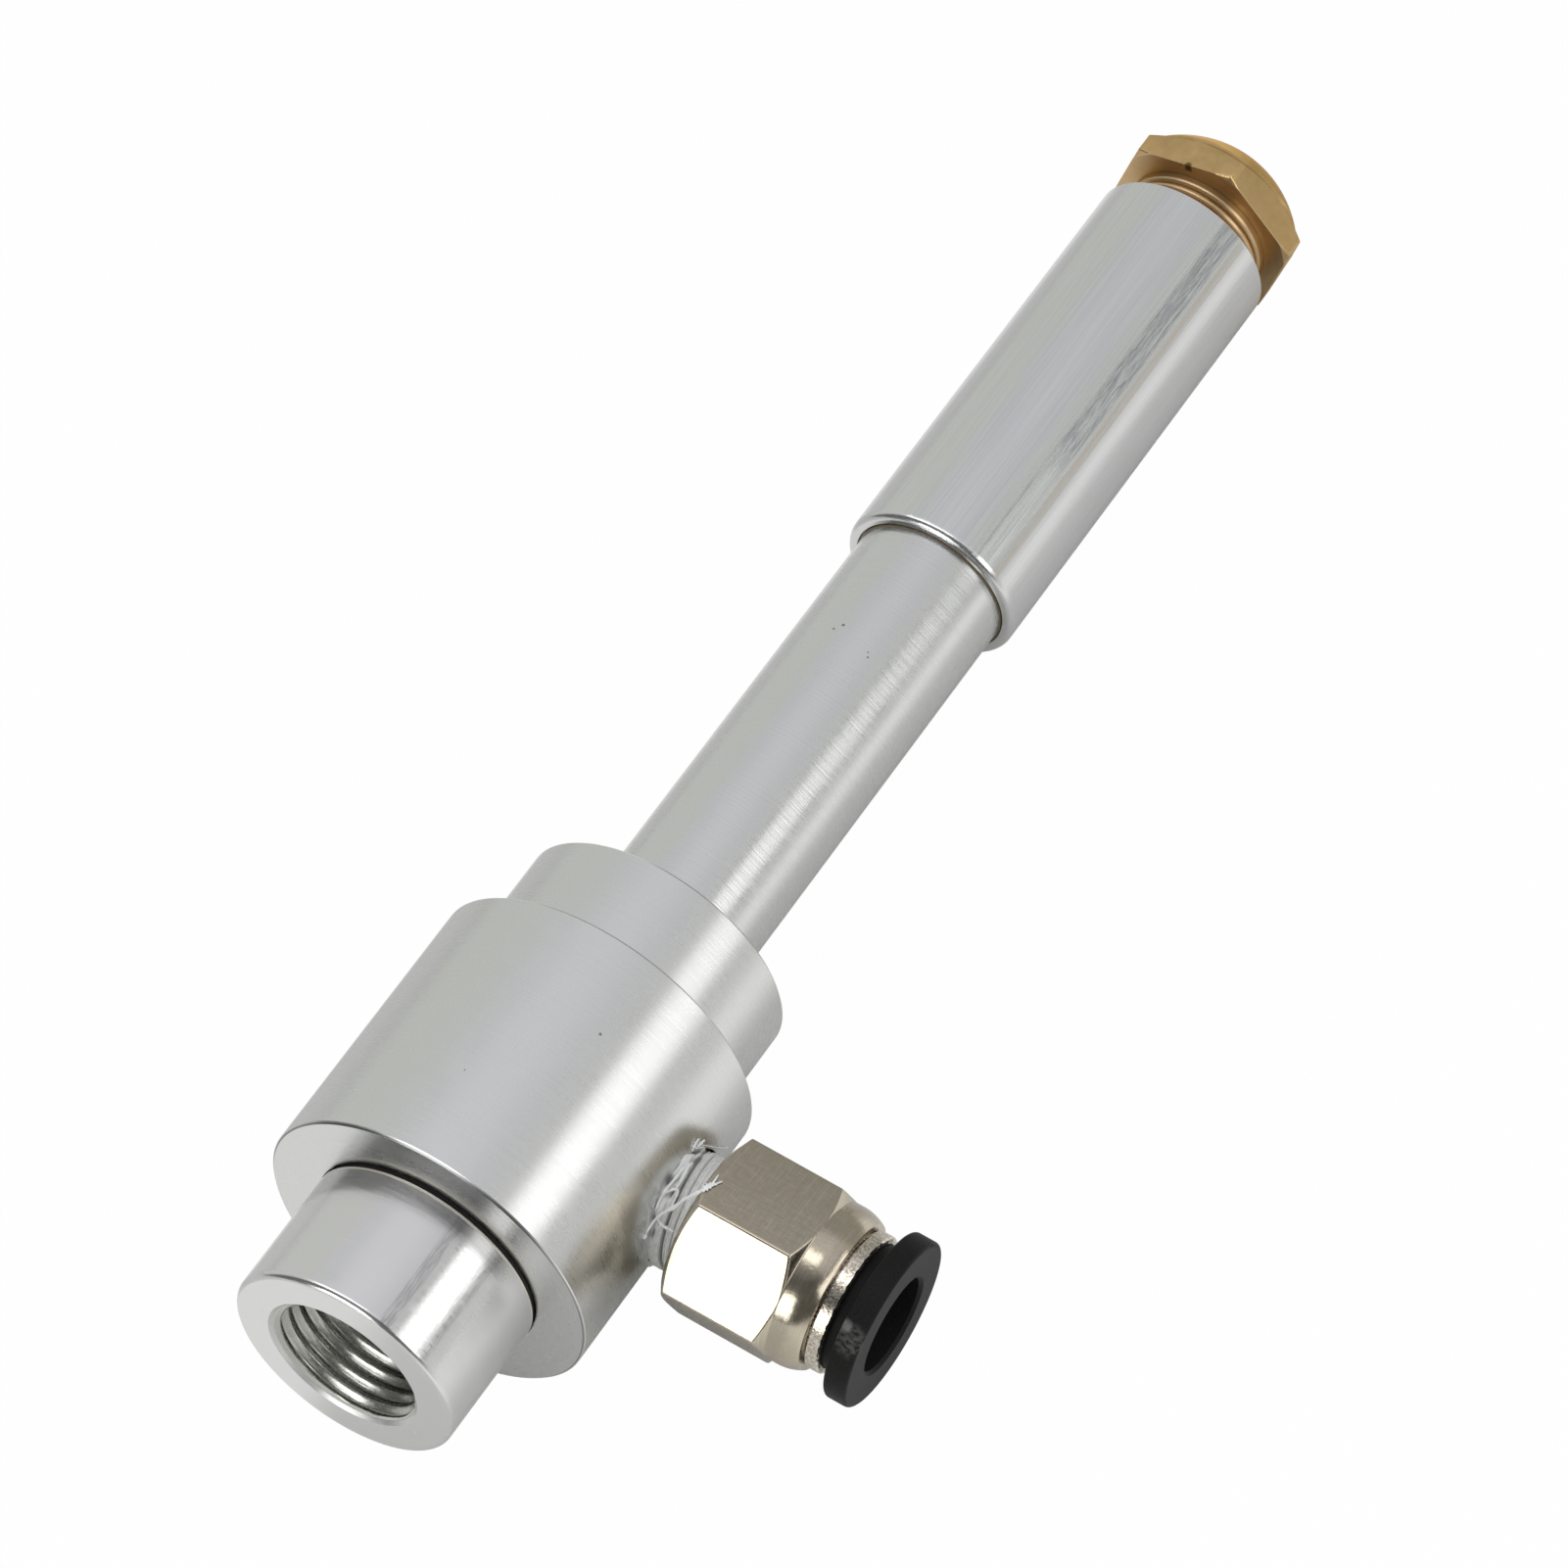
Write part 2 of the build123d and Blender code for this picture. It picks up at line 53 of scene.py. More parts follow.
# %% [markdown]
# ## Two axes
# The part lies tilted, because it rests on the housing's rim, a corner of the brass head and the fitting's
# collar. Nearly every new piece is round about one of two axes, so its shape is worked out along that axis and
# only then put in place. The axes come from the two mounts that the CAD states. Stations are millimetres from the
# nozzle's mouth along the tube, and reaches are millimetres from the tube's axis along the fitting. The CAD's own
# sizes that the finishes and the new pieces keep to are named here once.

# %% The tube's axis and the fitting's axis
MM = 0.001
mounts = {mount["name"]: mount for mount in frame["record"]["mounts"]}
outlet, inlet = mounts["cold_outlet"], mounts["air_inlet"]
tube = -np.array(outlet["axis"])
side = np.array(inlet["axis"])
over = np.cross(side, tube)
outlet_station, inlet_reach = 5.64, 20.9
nose = np.array(outlet["pos_m"]) - outlet_station * MM * tube
branch = np.array(inlet["pos_m"]) - inlet_reach * MM * side
housing_front, housing_rear, cap_rear, sleeve_front = 12.0, 36.7, 45.5, 87.4
nozzle_radius, housing_radius, cap_radius, tube_radius, sleeve_radius = 10.0, 14.5, 11.9, 6.75, 7.9


def on_axis(start, along, across, beyond, station, radius, turn):
    """start + station along the axis + radius (cos turn across + sin turn beyond), in metres."""
    station, radius, turn = np.broadcast_arrays(station, radius, turn)
    reach = station[..., None] * along + (radius * np.cos(turn))[..., None] * across
    return start + MM * (reach + (radius * np.sin(turn))[..., None] * beyond)


def about_tube(station, radius, turn):
    """A point round the tube: turn 0 is the fitting's side, a quarter turn is the upper side."""
    return on_axis(nose, tube, side, over, station, radius, turn)


def about_fitting(station, radius, turn):
    """A point round the fitting: turn 0 is the hot end's side, a quarter turn is the upper side."""
    return on_axis(branch, side, tube, over, station, radius, turn)


print("tube runs along", tube.round(4), "and the fitting along", side.round(4))

# %% [markdown]
# ## The camera
# The photograph was taken with a long lens from above and in front of the cold end. The camera is placed from
# the object's own axes, so it stays right if the object lies a little differently: its position is given along
# the tube, along the fitting and along the direction square to both, and so are its right and its down.

# %% Camera at the photograph's view
axes = np.array([tube, side, over])
eye = nose + MM * (np.array([-270.51, 176.80, 577.30]) @ axes)
right = np.array([0.52579, 0.84941, 0.04523]) @ axes
down = np.array([-0.69878, 0.46165, -0.54643]) @ axes
right /= np.linalg.norm(right)
forward = np.cross(down, right)
forward *= -1 / np.linalg.norm(forward)
down = np.cross(forward, right)
lens_pixels = 8731.8
picture_pixels = 1601

camera_data = bpy.data.cameras.new("camera")
camera_data.sensor_width = 36.0
camera_data.lens = lens_pixels * 36.0 / picture_pixels
camera_data.clip_start = 0.05
camera = bpy.data.objects.new("camera", camera_data)
columns = np.eye(4)
columns[:3, 0], columns[:3, 1], columns[:3, 2], columns[:3, 3] = right, -down, -forward, eye
camera.matrix_world = Matrix(columns.tolist())
bpy.context.scene.collection.objects.link(camera)
bpy.context.scene.camera = camera
bpy.context.scene.view_settings.view_transform = "Standard"
print("camera at", eye.round(3), "looking along", forward.round(3))

# %% [markdown]
# ## Shader maths as sentences
# A procedural material is a small sum over the surface. Adding a Math node by hand for each plus and times
# hides that sum, so `Amount` wraps a socket and lets Python's own operators add the nodes. `Finish` holds one
# material: constants go straight on its shader, and one method makes any other node.

# %% Helpers for materials
class Amount:
    """A number that changes over the surface, as a node's output."""

    def __init__(self, finish, socket):
        self.finish, self.socket = finish, socket

    def maths(self, operation, *numbers):
        """One Math node of that operation on these numbers or amounts."""
        inputs = {place: number for place, number in enumerate(numbers)}
        return self.finish.node("ShaderNodeMath", {"operation": operation}, inputs)

    def __add__(self, other):
        return self.maths("ADD", self, other)

    def __sub__(self, other):
        return self.maths("SUBTRACT", self, other)

    def __rsub__(self, other):
        return self.maths("SUBTRACT", other, self)

    def __mul__(self, other):
        return self.maths("MULTIPLY", self, other)

    def __truediv__(self, other):
        return self.maths("DIVIDE", self, other)

    def between(self, low, high):
        """0 below low, 1 above high, and a smooth rise between them."""
        settings = {"interpolation_type": "SMOOTHSTEP"}
        return self.finish.node("ShaderNodeMapRange", settings, {0: self, 1: low, 2: high})

    def within(self, low, high, soft):
        """1 between low and high, and 0 further than soft outside them."""
        return self.between(low - soft, low) - self.between(high, high + soft)

    __radd__ = __add__
    __rmul__ = __mul__


class Finish:
    """One material. Keyword arguments are the shader's own constants."""

    def __init__(self, name, **constants):
        self.material = bpy.data.materials.new(name)
        self.material.use_nodes = True
        self.tree = self.material.node_tree
        self.shader = self.tree.nodes["Principled BSDF"]
        for socket, value in constants.items():
            self.shader.inputs[socket.replace("_", " ")].default_value = value

    def node(self, kind, settings=None, inputs=None, output=0):
        """A node of that kind: its settings first, then its inputs by name or place. Gives its output."""
        made = self.tree.nodes.new(kind)
        for name, value in (settings or {}).items():
            setattr(made, name, value)
        for place, value in (inputs or {}).items():
            if isinstance(value, Amount):
                self.tree.links.new(value.socket, made.inputs[place])
            else:
                made.inputs[place].default_value = value
        return Amount(self, made.outputs[output])

    def feed(self, socket, amount):
        """Lets an amount drive one of the shader's inputs."""
        self.tree.links.new(amount.socket, self.shader.inputs[socket])

    def blend(self, factor, first, second):
        """A colour that goes from first to second as factor goes from 0 to 1."""
        return self.node("ShaderNodeMix", {"data_type": "RGBA"}, {0: factor, 6: first, 7: second}, 2)

    def noise(self, where, detail=2.0, roughness=0.5):
        """Noise that averages one half, with one bump for every 1 in the place it is given."""
        inputs = {"Vector": where, "Scale": 1.0, "Detail": detail, "Roughness": roughness}
        return self.node("ShaderNodeTexNoise", None, inputs)

    def parts(self, where):
        """The three numbers of a vector."""
        first = self.node("ShaderNodeSeparateXYZ", None, {0: where})
        outputs = first.socket.node.outputs
        return first, Amount(self, outputs[1]), Amount(self, outputs[2])

    def sees(self, kind):
        """1 where a Camera, Glossy or Transmission ray arrives, and 0 for the rest."""
        return self.node("ShaderNodeLightPath", None, None, f"Is {kind} Ray")

    def join(self, *numbers):
        """The vector of three numbers."""
        return self.node("ShaderNodeCombineXYZ", None, dict(enumerate(numbers)))


def colour(red, green, blue):
    """A colour as the shader takes it, with full alpha."""
    return (red, green, blue, 1.0)


print("material helpers ready")

# %% [markdown]
# ## Where a pattern lies
# Turning leaves lines round a piece and drawing leaves lines along it, so each pattern is stretched along one
# direction of the piece and squeezed along another. A Mapping node turns the object's coordinates to the
# piece's own axis and divides them by the size of the pattern's grain. Where a mark sits at a known place, the
# same coordinates in millimetres give the station, the radius and the turn.

# %% A pattern's coordinates
def grain(finish, start, along, across, size):
    """Object coordinates turned so that X runs along the axis, divided by the grain's size in millimetres."""
    turned = np.column_stack([along, across, np.cross(along, across)])
    angles = Matrix(turned.tolist()).to_euler()
    where = finish.node("ShaderNodeTexCoord", None, None, "Object")
    inputs = {"Vector": where, "Location": tuple(start), "Rotation": tuple(angles)}
    inputs["Scale"] = tuple(MM * part for part in size)
    return finish.node("ShaderNodeMapping", {"vector_type": "TEXTURE"}, inputs)


def tube_grain(finish, *size):
    """Coordinates for a pattern round or along the tube."""
    return grain(finish, nose, tube, side, size)


def fitting_grain(finish, *size):
    """Coordinates for a pattern round or along the fitting."""
    return grain(finish, branch, side, tube, size)


def round_place(along, sideways, upwards):
    """The place along an axis, the distance from it and the turn round it in degrees."""
    squares = sideways * sideways + upwards * upwards
    return along, squares.maths("SQRT", squares), upwards.maths("ARCTAN2", upwards, sideways) * (180 / np.pi)


def place_on_tube(finish):
    """Station and radius in millimetres, and turn in degrees from the fitting's side towards the upper side."""
    station, sideways, under = finish.parts(tube_grain(finish, 1, 1, 1))
    return round_place(station, sideways, 0 - under)


def place_on_fitting(finish):
    """Reach and radius in millimetres, and turn in degrees from the hot end's side towards the upper side."""
    return round_place(*finish.parts(fitting_grain(finish, 1, 1, 1)))


def spot(along, radius, turn, centre, angle, size):
    """1 in the middle of a round spot on a round face, fading to 0 at `size` millimetres from its middle."""
    away, round_it = along - centre, (turn - angle) * radius * (np.pi / 180)
    return (away * away + round_it * round_it).between(size**2, (0.3 * size) ** 2)


def ridges(finish, height, depth):
    """A Bump node whose full height is depth millimetres."""
    finish.feed("Normal", finish.node("ShaderNodeBump", None, {"Height": height, "Distance": depth * MM}))


print("patterns start at", nose.round(4), "on the tube and at", branch.round(4), "on the fitting")

# %% [markdown]
# ## Turned aluminium
# The housing and the cap come off a lathe with very fine feed lines that run round them, and round and round on
# their end faces. The lines are far narrower than a millimetre and each lasts only part of the way round, so the
# light spreads along the tube and stays narrow across it. On a round face the station changes and on an end face
# the radius does, so noise over the station and a share of the radius gives lines on both. The lines change the
# roughness too, which makes the bright streak look brushed, and on the end faces that is all they do. The rear
# edges of the housing and the cap are sharp, with a painted dark line of shade along each, and a few specks show that
# the part has been handled.

# %% Turned aluminium
def turned_metal(name, base, roughness, line, depth, patch, rounds=(), run=7.0, shaded_rims=(), specks=(), shaded=None):
    """Bare metal with lines round the tube: line is their spacing, depth their height and run their length, in
    millimetres, and patch is how much the roughness varies. The lines stand up only on faces with the radii in
    `rounds`, if any are given."""
    finish = Finish(name, Metallic=1.0)
    station, radius, turn = place_on_tube(finish)
    lathe = station + radius * 0.3
    _, across, beyond = finish.parts(tube_grain(finish, run, run, run))
    fine = finish.noise(finish.join(lathe / line, across, beyond), 1.0)
    coarse = finish.noise(finish.join(lathe / (line * 3), across * 0.5, beyond * 0.5), 1.0)
    cloud = finish.noise(tube_grain(finish, 3.0, 2.0, 2.0), 2.0)
    tone = finish.blend(fine * 0.25 + cloud * 0.5 + 0.25, tuple(0.95 * part for part in base[:3]) + (1.0,), base)
    # painted shade: a dark line along each listed rear rim stands for the shade at the sharp edge
    for edge, size in shaded_rims:
        rim = station.within(edge - 0.11, edge + 0.1, 0.05) * radius.between(size - 0.14, size - 0.05)
        tone = finish.blend(rim * 0.8, tone, colour(0.10, 0.10, 0.10))
    dulled = 0
    # painted shade: where the shade mask is high, the metal's colour goes to dark grey
    if shaded:
        shade, dulled = shaded(finish, station, radius, turn)
        tone = finish.blend(shade, tone, colour(0.16, 0.16, 0.165))
    for speck, angle, size in specks:
        near = spot(station, radius, turn, speck, angle, 1.5 * size)
        tone = finish.blend(near * 0.75, tone, colour(0.06, 0.05, 0.045))
    finish.feed("Base Color", tone)
    finish.feed("Roughness", (cloud - 0.5) * (0.5 * patch) + (fine - 0.5) * patch + (dulled + roughness))
    relief = fine + coarse * 0.5 - 0.75
    if rounds:
        relief = relief * sum(radius.within(size - 0.02, size + 0.05, 0.04) for size in rounds)
    ridges(finish, relief, depth)
    return finish.material


def housing_shade(finish, station, radius, turn):
    """How dark and how much rougher: painted shade darkens the front half of the housing's front chamfer, so the line
    of light along it is thin."""
    front_half = station.within(housing_front - 0.05, housing_front + 0.10, 0.03)
    return front_half * radius.between(housing_radius - 0.22, housing_radius - 0.18) * 0.75, 0


def nozzle_shade(finish, station, radius, turn):
    """How dark and how much rougher: a ragged dark line of painted shade runs beside the nozzle's streak and a
    fainter one below it, and the chamfer at the mouth and the lower side are duller."""
    ragged = finish.noise(tube_grain(finish, 1.4, 0.12, 0.12), 1.0).between(0.30, 0.62)
    beside = turn.within(67.5, 70.5, 2.5) * 0.40 + turn.within(45.0, 49.5, 2.0) * 0.24
    mouth = (1 - station.between(0.25, 0.40)) * (1 - radius.between(6.87, 6.92))
    outside = radius.between(nozzle_radius - 0.15, nozzle_radius - 0.05)
    lower = turn.within(-10.0, 30.0, 12.0) * outside
    return beside * (ragged * 0.8 + 0.2) * outside, mouth * 0.20 + lower * 0.14


aluminium = colour(0.73, 0.735, 0.72)
housing_specks = [(28.91, 70.8, 0.11), (37.6, 68.0, 0.05), (20.1, 98.0, 0.06)]
tube_specks = [(76.24, 105.5, 0.12), (75.6, 110.0, 0.09), (74.6, 77.0, 0.08), (75.0, 79.0, 0.06)]
housing_shaded_rims = [(housing_rear, housing_radius), (cap_rear, cap_radius)]
housing_finish = turned_metal(
    "turned_aluminium", aluminium, roughness=0.28, line=0.20, depth=0.0022, patch=0.08,
    rounds=(housing_radius, cap_radius), shaded_rims=housing_shaded_rims, specks=housing_specks, shaded=housing_shade,
)
nozzle_finish = turned_metal(
    "polished_aluminium", colour(0.76, 0.76, 0.75), roughness=0.22, line=0.20, depth=0.0028, patch=0.20,
    rounds=(nozzle_radius,), run=3.0, shaded=nozzle_shade,
)
tube_finish = turned_metal(
    "tube_aluminium", aluminium, roughness=0.26, line=0.20, depth=0.006, patch=0.18, specks=tube_specks
)
thread_finish = turned_metal(
    "threaded_aluminium", colour(0.56, 0.56, 0.52), roughness=0.26, line=0.14, depth=0.010, patch=0.22, run=0.6
)
print("turned finishes:", housing_finish.name, nozzle_finish.name, tube_finish.name)

# %% [markdown]
# ## Drawn aluminium
# The exhaust sleeve is a piece of drawn tube, so its lines run lengthwise. Its front carries a long dull streak of
# painted shade, darker in patches, with a faint brownish line below it. Each is a band in the turn round the tube,
# and long thin noise breaks it up. The streak starts as one thin line and widens towards the hot end.

# %% Drawn aluminium for the exhaust sleeve
sleeve = Finish("drawn_aluminium", Metallic=1.0)
station, radius, turn = place_on_tube(sleeve)
lengthwise = sleeve.noise(tube_grain(sleeve, 12.0, 0.16, 0.16), 1.0).between(0.25, 0.75)
fibre = sleeve.noise(tube_grain(sleeve, 1.1, 0.045, 0.045), 1.0)
patches = sleeve.noise(tube_grain(sleeve, 3.0, 0.18, 0.18), 1.0)
tone = sleeve.blend(lengthwise, colour(0.675, 0.682, 0.675), colour(0.735, 0.74, 0.727))
on_outside = radius.between(sleeve_radius - 0.2, sleeve_radius - 0.05)
# painted shade: a dark band round a fixed turn stands for the dark reflection where the streak would shine
painted_first_line = turn.within(60.6, 61.8, 0.8) * station.within(88.0, 96.5, 2.5)
painted_dark_streak = turn.within(50.5, 60.5, 2.5) * station.within(102.0, 126.5, 5.0) * (patches.between(0.30, 0.60) * 0.8 + 0.2)
painted_dark_band = (painted_first_line * 0.55 + painted_dark_streak) * (fibre.between(0.34, 0.62) * 0.75 + 0.25) * on_outside
brownish = turn.within(42.5, 46.5, 1.5) * station.within(88.0, 127.5, 1.0) * (lengthwise * 0.6 + 0.2) * on_outside
tone = sleeve.blend(brownish, tone, colour(0.60, 0.54, 0.475))
# painted shade: the whole band at these turns is a little darker and bluer
tone = sleeve.blend(turn.within(48.0, 62.0, 1.5) * 0.12 * on_outside, tone, colour(0.42, 0.44, 0.47))
tone = sleeve.blend(painted_dark_band * 0.85, tone, colour(0.24, 0.25, 0.28))
sleeve.feed("Base Color", tone)
sleeve.feed("Roughness", lengthwise * 0.06 + painted_dark_band * 0.12 + 0.21)
ridges(sleeve, lengthwise * 0.7 + fibre * 0.3, 0.002)
print("drawn finish:", sleeve.material.name)

# %% Give the CAD pieces their metal
def dress(material, *names):
    """Puts a material on all of these CAD nodes' faces."""
    for name in names:
        slots = nodes[name].data.materials
        slots.clear()
        slots.append(material)


dress(housing_finish, "housing", "hot_side_cap")
dress(nozzle_finish, "cold_nozzle")
dress(tube_finish, "hot_tube")
dress(sleeve.material, "exhaust_sleeve")
print("dressed the turned pieces")

# %% [markdown]
# ## Brass, plating, rubber and plastic
# The valve is bare brass that has dulled to brown, with the mill's faint lines on its flats, one darker flat and
# a small pit behind it. Brass keeps its colour at a low angle, so its edge tint is warm too. The fitting is brass
# under nickel, a brownish grey with fine scratches both ways. Rubber and the black collar are dark and matt, and
# the collar shows the slight unevenness of a moulding.

# %% Brass for the valve
brass = Finish("valve_brass", Metallic=1.0, Specular_Tint=colour(0.95, 0.74, 0.45))
tarnish = brass.noise(tube_grain(brass, 0.9, 0.9, 0.9), 2.0)
milled = brass.noise(tube_grain(brass, 1.6, 0.12, 0.12), 1.0)
warmth = tarnish.between(0.25, 0.8) * 0.75 + milled * 0.25
tone = brass.blend(warmth, colour(0.68, 0.475, 0.225), colour(0.58, 0.39, 0.165))
station, radius, turn = place_on_tube(brass)
behind = 1 - station.between(131.26, 131.40)
tone = brass.blend(behind * 0.7, tone, colour(0.58, 0.43, 0.27))
darker_flat = turn.within(18.0, 72.0, 1.0) * station.between(131.3, 131.5)
tone = brass.blend(darker_flat * 0.22, tone, colour(0.30, 0.19, 0.08))
pit = spot(station, radius, turn, 131.28, 102.6, 0.42) * radius.between(7.0, 7.3)
brass.feed("Base Color", brass.blend(pit * 0.85, tone, colour(0.09, 0.045, 0.018)))
brass.feed("Roughness", tarnish * 0.06 + milled * 0.05 + behind * 0.10 + 0.19)
ridges(brass, milled * 0.6 + tarnish * 0.4, 0.0015)
print("brass finish:", len(brass.tree.nodes), "nodes")

# %% Nickel plating for the fitting
nickel = Finish("nickel_plating", Metallic=1.0)
along_scratch = nickel.noise(fitting_grain(nickel, 3.0, 0.05, 0.05), 1.0)
cross_scratch = nickel.noise(fitting_grain(nickel, 0.05, 2.5, 2.5), 1.0)
wavy = nickel.noise(fitting_grain(nickel, 0.45, 0.45, 0.45), 2.0)
scratched = along_scratch.between(0.60, 0.70) * 0.4 + cross_scratch.between(0.56, 0.72) * 0.4
tone = nickel.blend(wavy * 0.5 + cross_scratch * 0.5, colour(0.45, 0.395, 0.305), colour(0.58, 0.52, 0.41))
nickel.feed("Base Color", nickel.blend(scratched * 0.6, tone, colour(0.84, 0.80, 0.71)))
nickel.feed("Roughness", cross_scratch * 0.08 + wavy * 0.10 + 0.10)
ridges(nickel, along_scratch * 0.15 + cross_scratch * 0.15 + wavy, 0.009)
print("nickel finish:", len(nickel.tree.nodes), "nodes")

# %% Bright ring and spring steel
bright = Finish("bright_ring", Metallic=1.0)
hammered = bright.noise(fitting_grain(bright, 0.20, 0.20, 0.20), 2.0)
tone = bright.blend(hammered.between(0.30, 0.64), colour(0.42, 0.365, 0.285), colour(0.80, 0.74, 0.64))
bright.feed("Base Color", tone)
bright.feed("Roughness", hammered * 0.20 + 0.08)
ridges(bright, hammered, 0.018)
print("bright finish:", len(bright.tree.nodes), "nodes")

# %% Rubber, black plastic and pale plastic
def dull(name, dark, light, roughness, size, depth, shine=0.5):
    """A matt moulding: its colour, gloss and height all follow one fine noise, `size` wide and `depth` high."""
    finish = Finish(name, Metallic=0.0, Specular_IOR_Level=shine)
    pores = finish.noise(fitting_grain(finish, size, size, size), 4.0, 0.6)
    finish.feed("Base Color", finish.blend(pores, dark, light))
    finish.feed("Roughness", pores * 0.2 + (roughness - 0.1))
    ridges(finish, pores, depth)
    return finish.material


rubber_finish = dull("black_rubber", colour(0.008, 0.008, 0.008), colour(0.02, 0.02, 0.02), 0.55, 0.08, 0.004, 0.3)
pale_finish = dull("pale_plastic", colour(0.62, 0.60, 0.54), colour(0.74, 0.72, 0.66), 0.45, 0.10, 0.006)
compound_and_shade_finish = dull("thread_compound_and_shade", colour(0.03, 0.025, 0.02), colour(0.30, 0.24, 0.14), 0.35, 0.25, 0.02)
dress(rubber_finish, "cold_nozzle_seal", "generator_gasket", "hot_tube_seal", "valve_seal", "tube_seal")
dress(pale_finish, "vortex_generator", "seal_spacer")
dress(bright.material, "grab_ring", "fitting_end_ring")
print("dressed the seals and the rings")

# %% Black plastic for the collar, with a painted highlight and a dusty patch
collar = Finish("black_plastic", Metallic=0.0, Specular_IOR_Level=0.08)
pores = collar.noise(fitting_grain(collar, 0.16, 0.16, 0.16), 3.0, 0.6)
dust = collar.noise(fitting_grain(collar, 0.45, 0.35, 0.35), 3.0, 0.6).between(0.34, 0.68)
reach, radius, turn = place_on_fitting(collar)
# painted highlight: the small light spot near the collar's rear edge; the wider, noisy spot beside it is dust
painted_highlight_spot = spot(reach, radius, turn, 32.0, 131.5, 0.75) * (dust * 0.4 + 0.6)
highlight_and_dust = painted_highlight_spot + spot(reach, radius, turn, 32.9, 139.0, 1.7) * dust * 0.55
tone = collar.blend(pores, colour(0.004, 0.004, 0.004), colour(0.024, 0.024, 0.023))
collar.feed("Base Color", collar.blend(highlight_and_dust * radius.between(6.6, 7.1), tone, colour(0.17, 0.17, 0.165)))
collar.feed("Roughness", pores * 0.2 + 0.40)
ridges(collar, pores, 0.02)
dress(collar.material, "release_collar")
print("dressed the collar")

# %% [markdown]
# ## One way to make a round piece
# A thread, a hexagon and wound tape are all a radius that depends on two things: how far along the axis and
# how far round it. So each new piece is a grid of points. Its rows follow a profile, its columns go round,
# and rows that shrink to the axis close it at a pole. A ring repeats its first row at the end instead.

# %% Skin over a grid of points
def skin(name, points, body, material, crease=32):
    """A closed mesh over a grid: quads join each point to its neighbours along its row and in the next row."""
    rows, around = points.shape[:2]
    corner = np.arange(rows * around).reshape(rows, around)
    beside = np.roll(corner, -1, axis=1)
    quads = np.stack([corner[:-1], beside[:-1], beside[1:], corner[1:]], axis=-1).reshape(-1, 4)
    mesh = bpy.data.meshes.new(name)
    mesh.from_pydata(points.reshape(-1, 3), [], quads)
    merged = bmesh.new()
    merged.from_mesh(mesh)
    bmesh.ops.remove_doubles(merged, verts=merged.verts, dist=2e-8)
    bmesh.ops.recalc_face_normals(merged, faces=merged.faces)
    merged.to_mesh(mesh)
    merged.free()
    mesh.shade_smooth()
    mesh.set_sharp_from_angle(angle=np.radians(crease))
    mesh.materials.append(material)
    piece = bpy.data.objects.new(name, mesh)
    bpy.context.scene.collection.objects.link(piece)
    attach(piece, body)
    print(name, "has", len(mesh.polygons), "faces")
    return piece


def eased(profile, cut, steps=4):
    """A profile whose corners are rounded: each gives way to the curve (1-t)^2 a + 2t(1-t) corner + t^2 b,
    which starts at a and ends at b, both `cut` from the corner along its sides."""
    before, corner, after = profile[..., :-2, :], profile[..., 1:-1, :], profile[..., 2:, :]
    back, ahead = before - corner, after - corner
    back_length = np.linalg.norm(back, axis=-1, keepdims=True)
    ahead_length = np.linalg.norm(ahead, axis=-1, keepdims=True)
    cut = np.asarray(cut, float)[..., None] * np.ones_like(back_length)
    a = corner + back * np.minimum(cut / np.maximum(back_length, 1e-9), 0.45)
    b = corner + ahead * np.minimum(cut / np.maximum(ahead_length, 1e-9), 0.45)
    t = np.linspace(0, 1, steps)[:, None]
    curve = (1 - t) ** 2 * a[..., None, :] + 2 * t * (1 - t) * corner[..., None, :] + t**2 * b[..., None, :]
    curve = curve.reshape(*curve.shape[:-3], -1, 2)
    return np.concatenate([profile[..., :1, :], curve, profile[..., -1:, :]], axis=-2)


def full_turn(count):
    """That many equal steps round the axis."""
    return np.arange(count) * 2 * np.pi / count


def all_round(steps, axis=0):
    """A profile's points in every column of `turns`: a station or a radius is one number, or one for each column."""
    return np.stack([np.stack([station + 0 * turns, radius + 0 * turns], -1) for station, radius in steps], axis)


print("a full turn in 4 steps:", full_turn(4).round(3))

# %% [markdown]
# ## The valve's thread
# The brass valve screws into the sleeve on a G1/4 thread, and two turned rings and the thread's last turn show
# between the sleeve and the hexagon. A helix makes a thread: the height of the flank depends on the station plus
# the turn times the pitch. The wave is a triangle with rounded crests and roots, as on a pipe thread. It is a
# right-hand thread, so the crest moves towards the cold end as the turn grows, because the turn here runs
# left-handed about the tube.

# %% Thread shape
pitch = 1.337
thread_crest, thread_root = 6.578, 5.722


def thread_wave(station, turn):
    """From -1 at the root to 1 at the crest: a triangle wave of the phase, steepened and bent over by a sine."""
    phase = (station / pitch + turn / (2 * np.pi)) % 1.0
    triangle = 4 * np.abs(phase - 0.5) - 1
    return np.sin(np.pi / 2 * np.clip(1.15 * triangle, -1, 1))


def thread_radius(station, turn):
    """Halfway between root and crest, plus half their difference times the wave."""
    middle, half = (thread_crest + thread_root) / 2, (thread_crest - thread_root) / 2
    return middle + half * thread_wave(station, turn)


def ring_radius(station, centre, half, crest):
    """A turned ring's rounded back: crest less half times 1 - sqrt(1 - ((station - centre) / half)^2)."""
    off = np.clip(np.abs(station - centre) / half, 0, 1)
    return np.where(off < 1, crest - half * (1 - np.sqrt(1 - off**2)), 0)


print("thread depth", round(thread_crest - thread_root, 3), "mm, pitch", pitch, "mm")

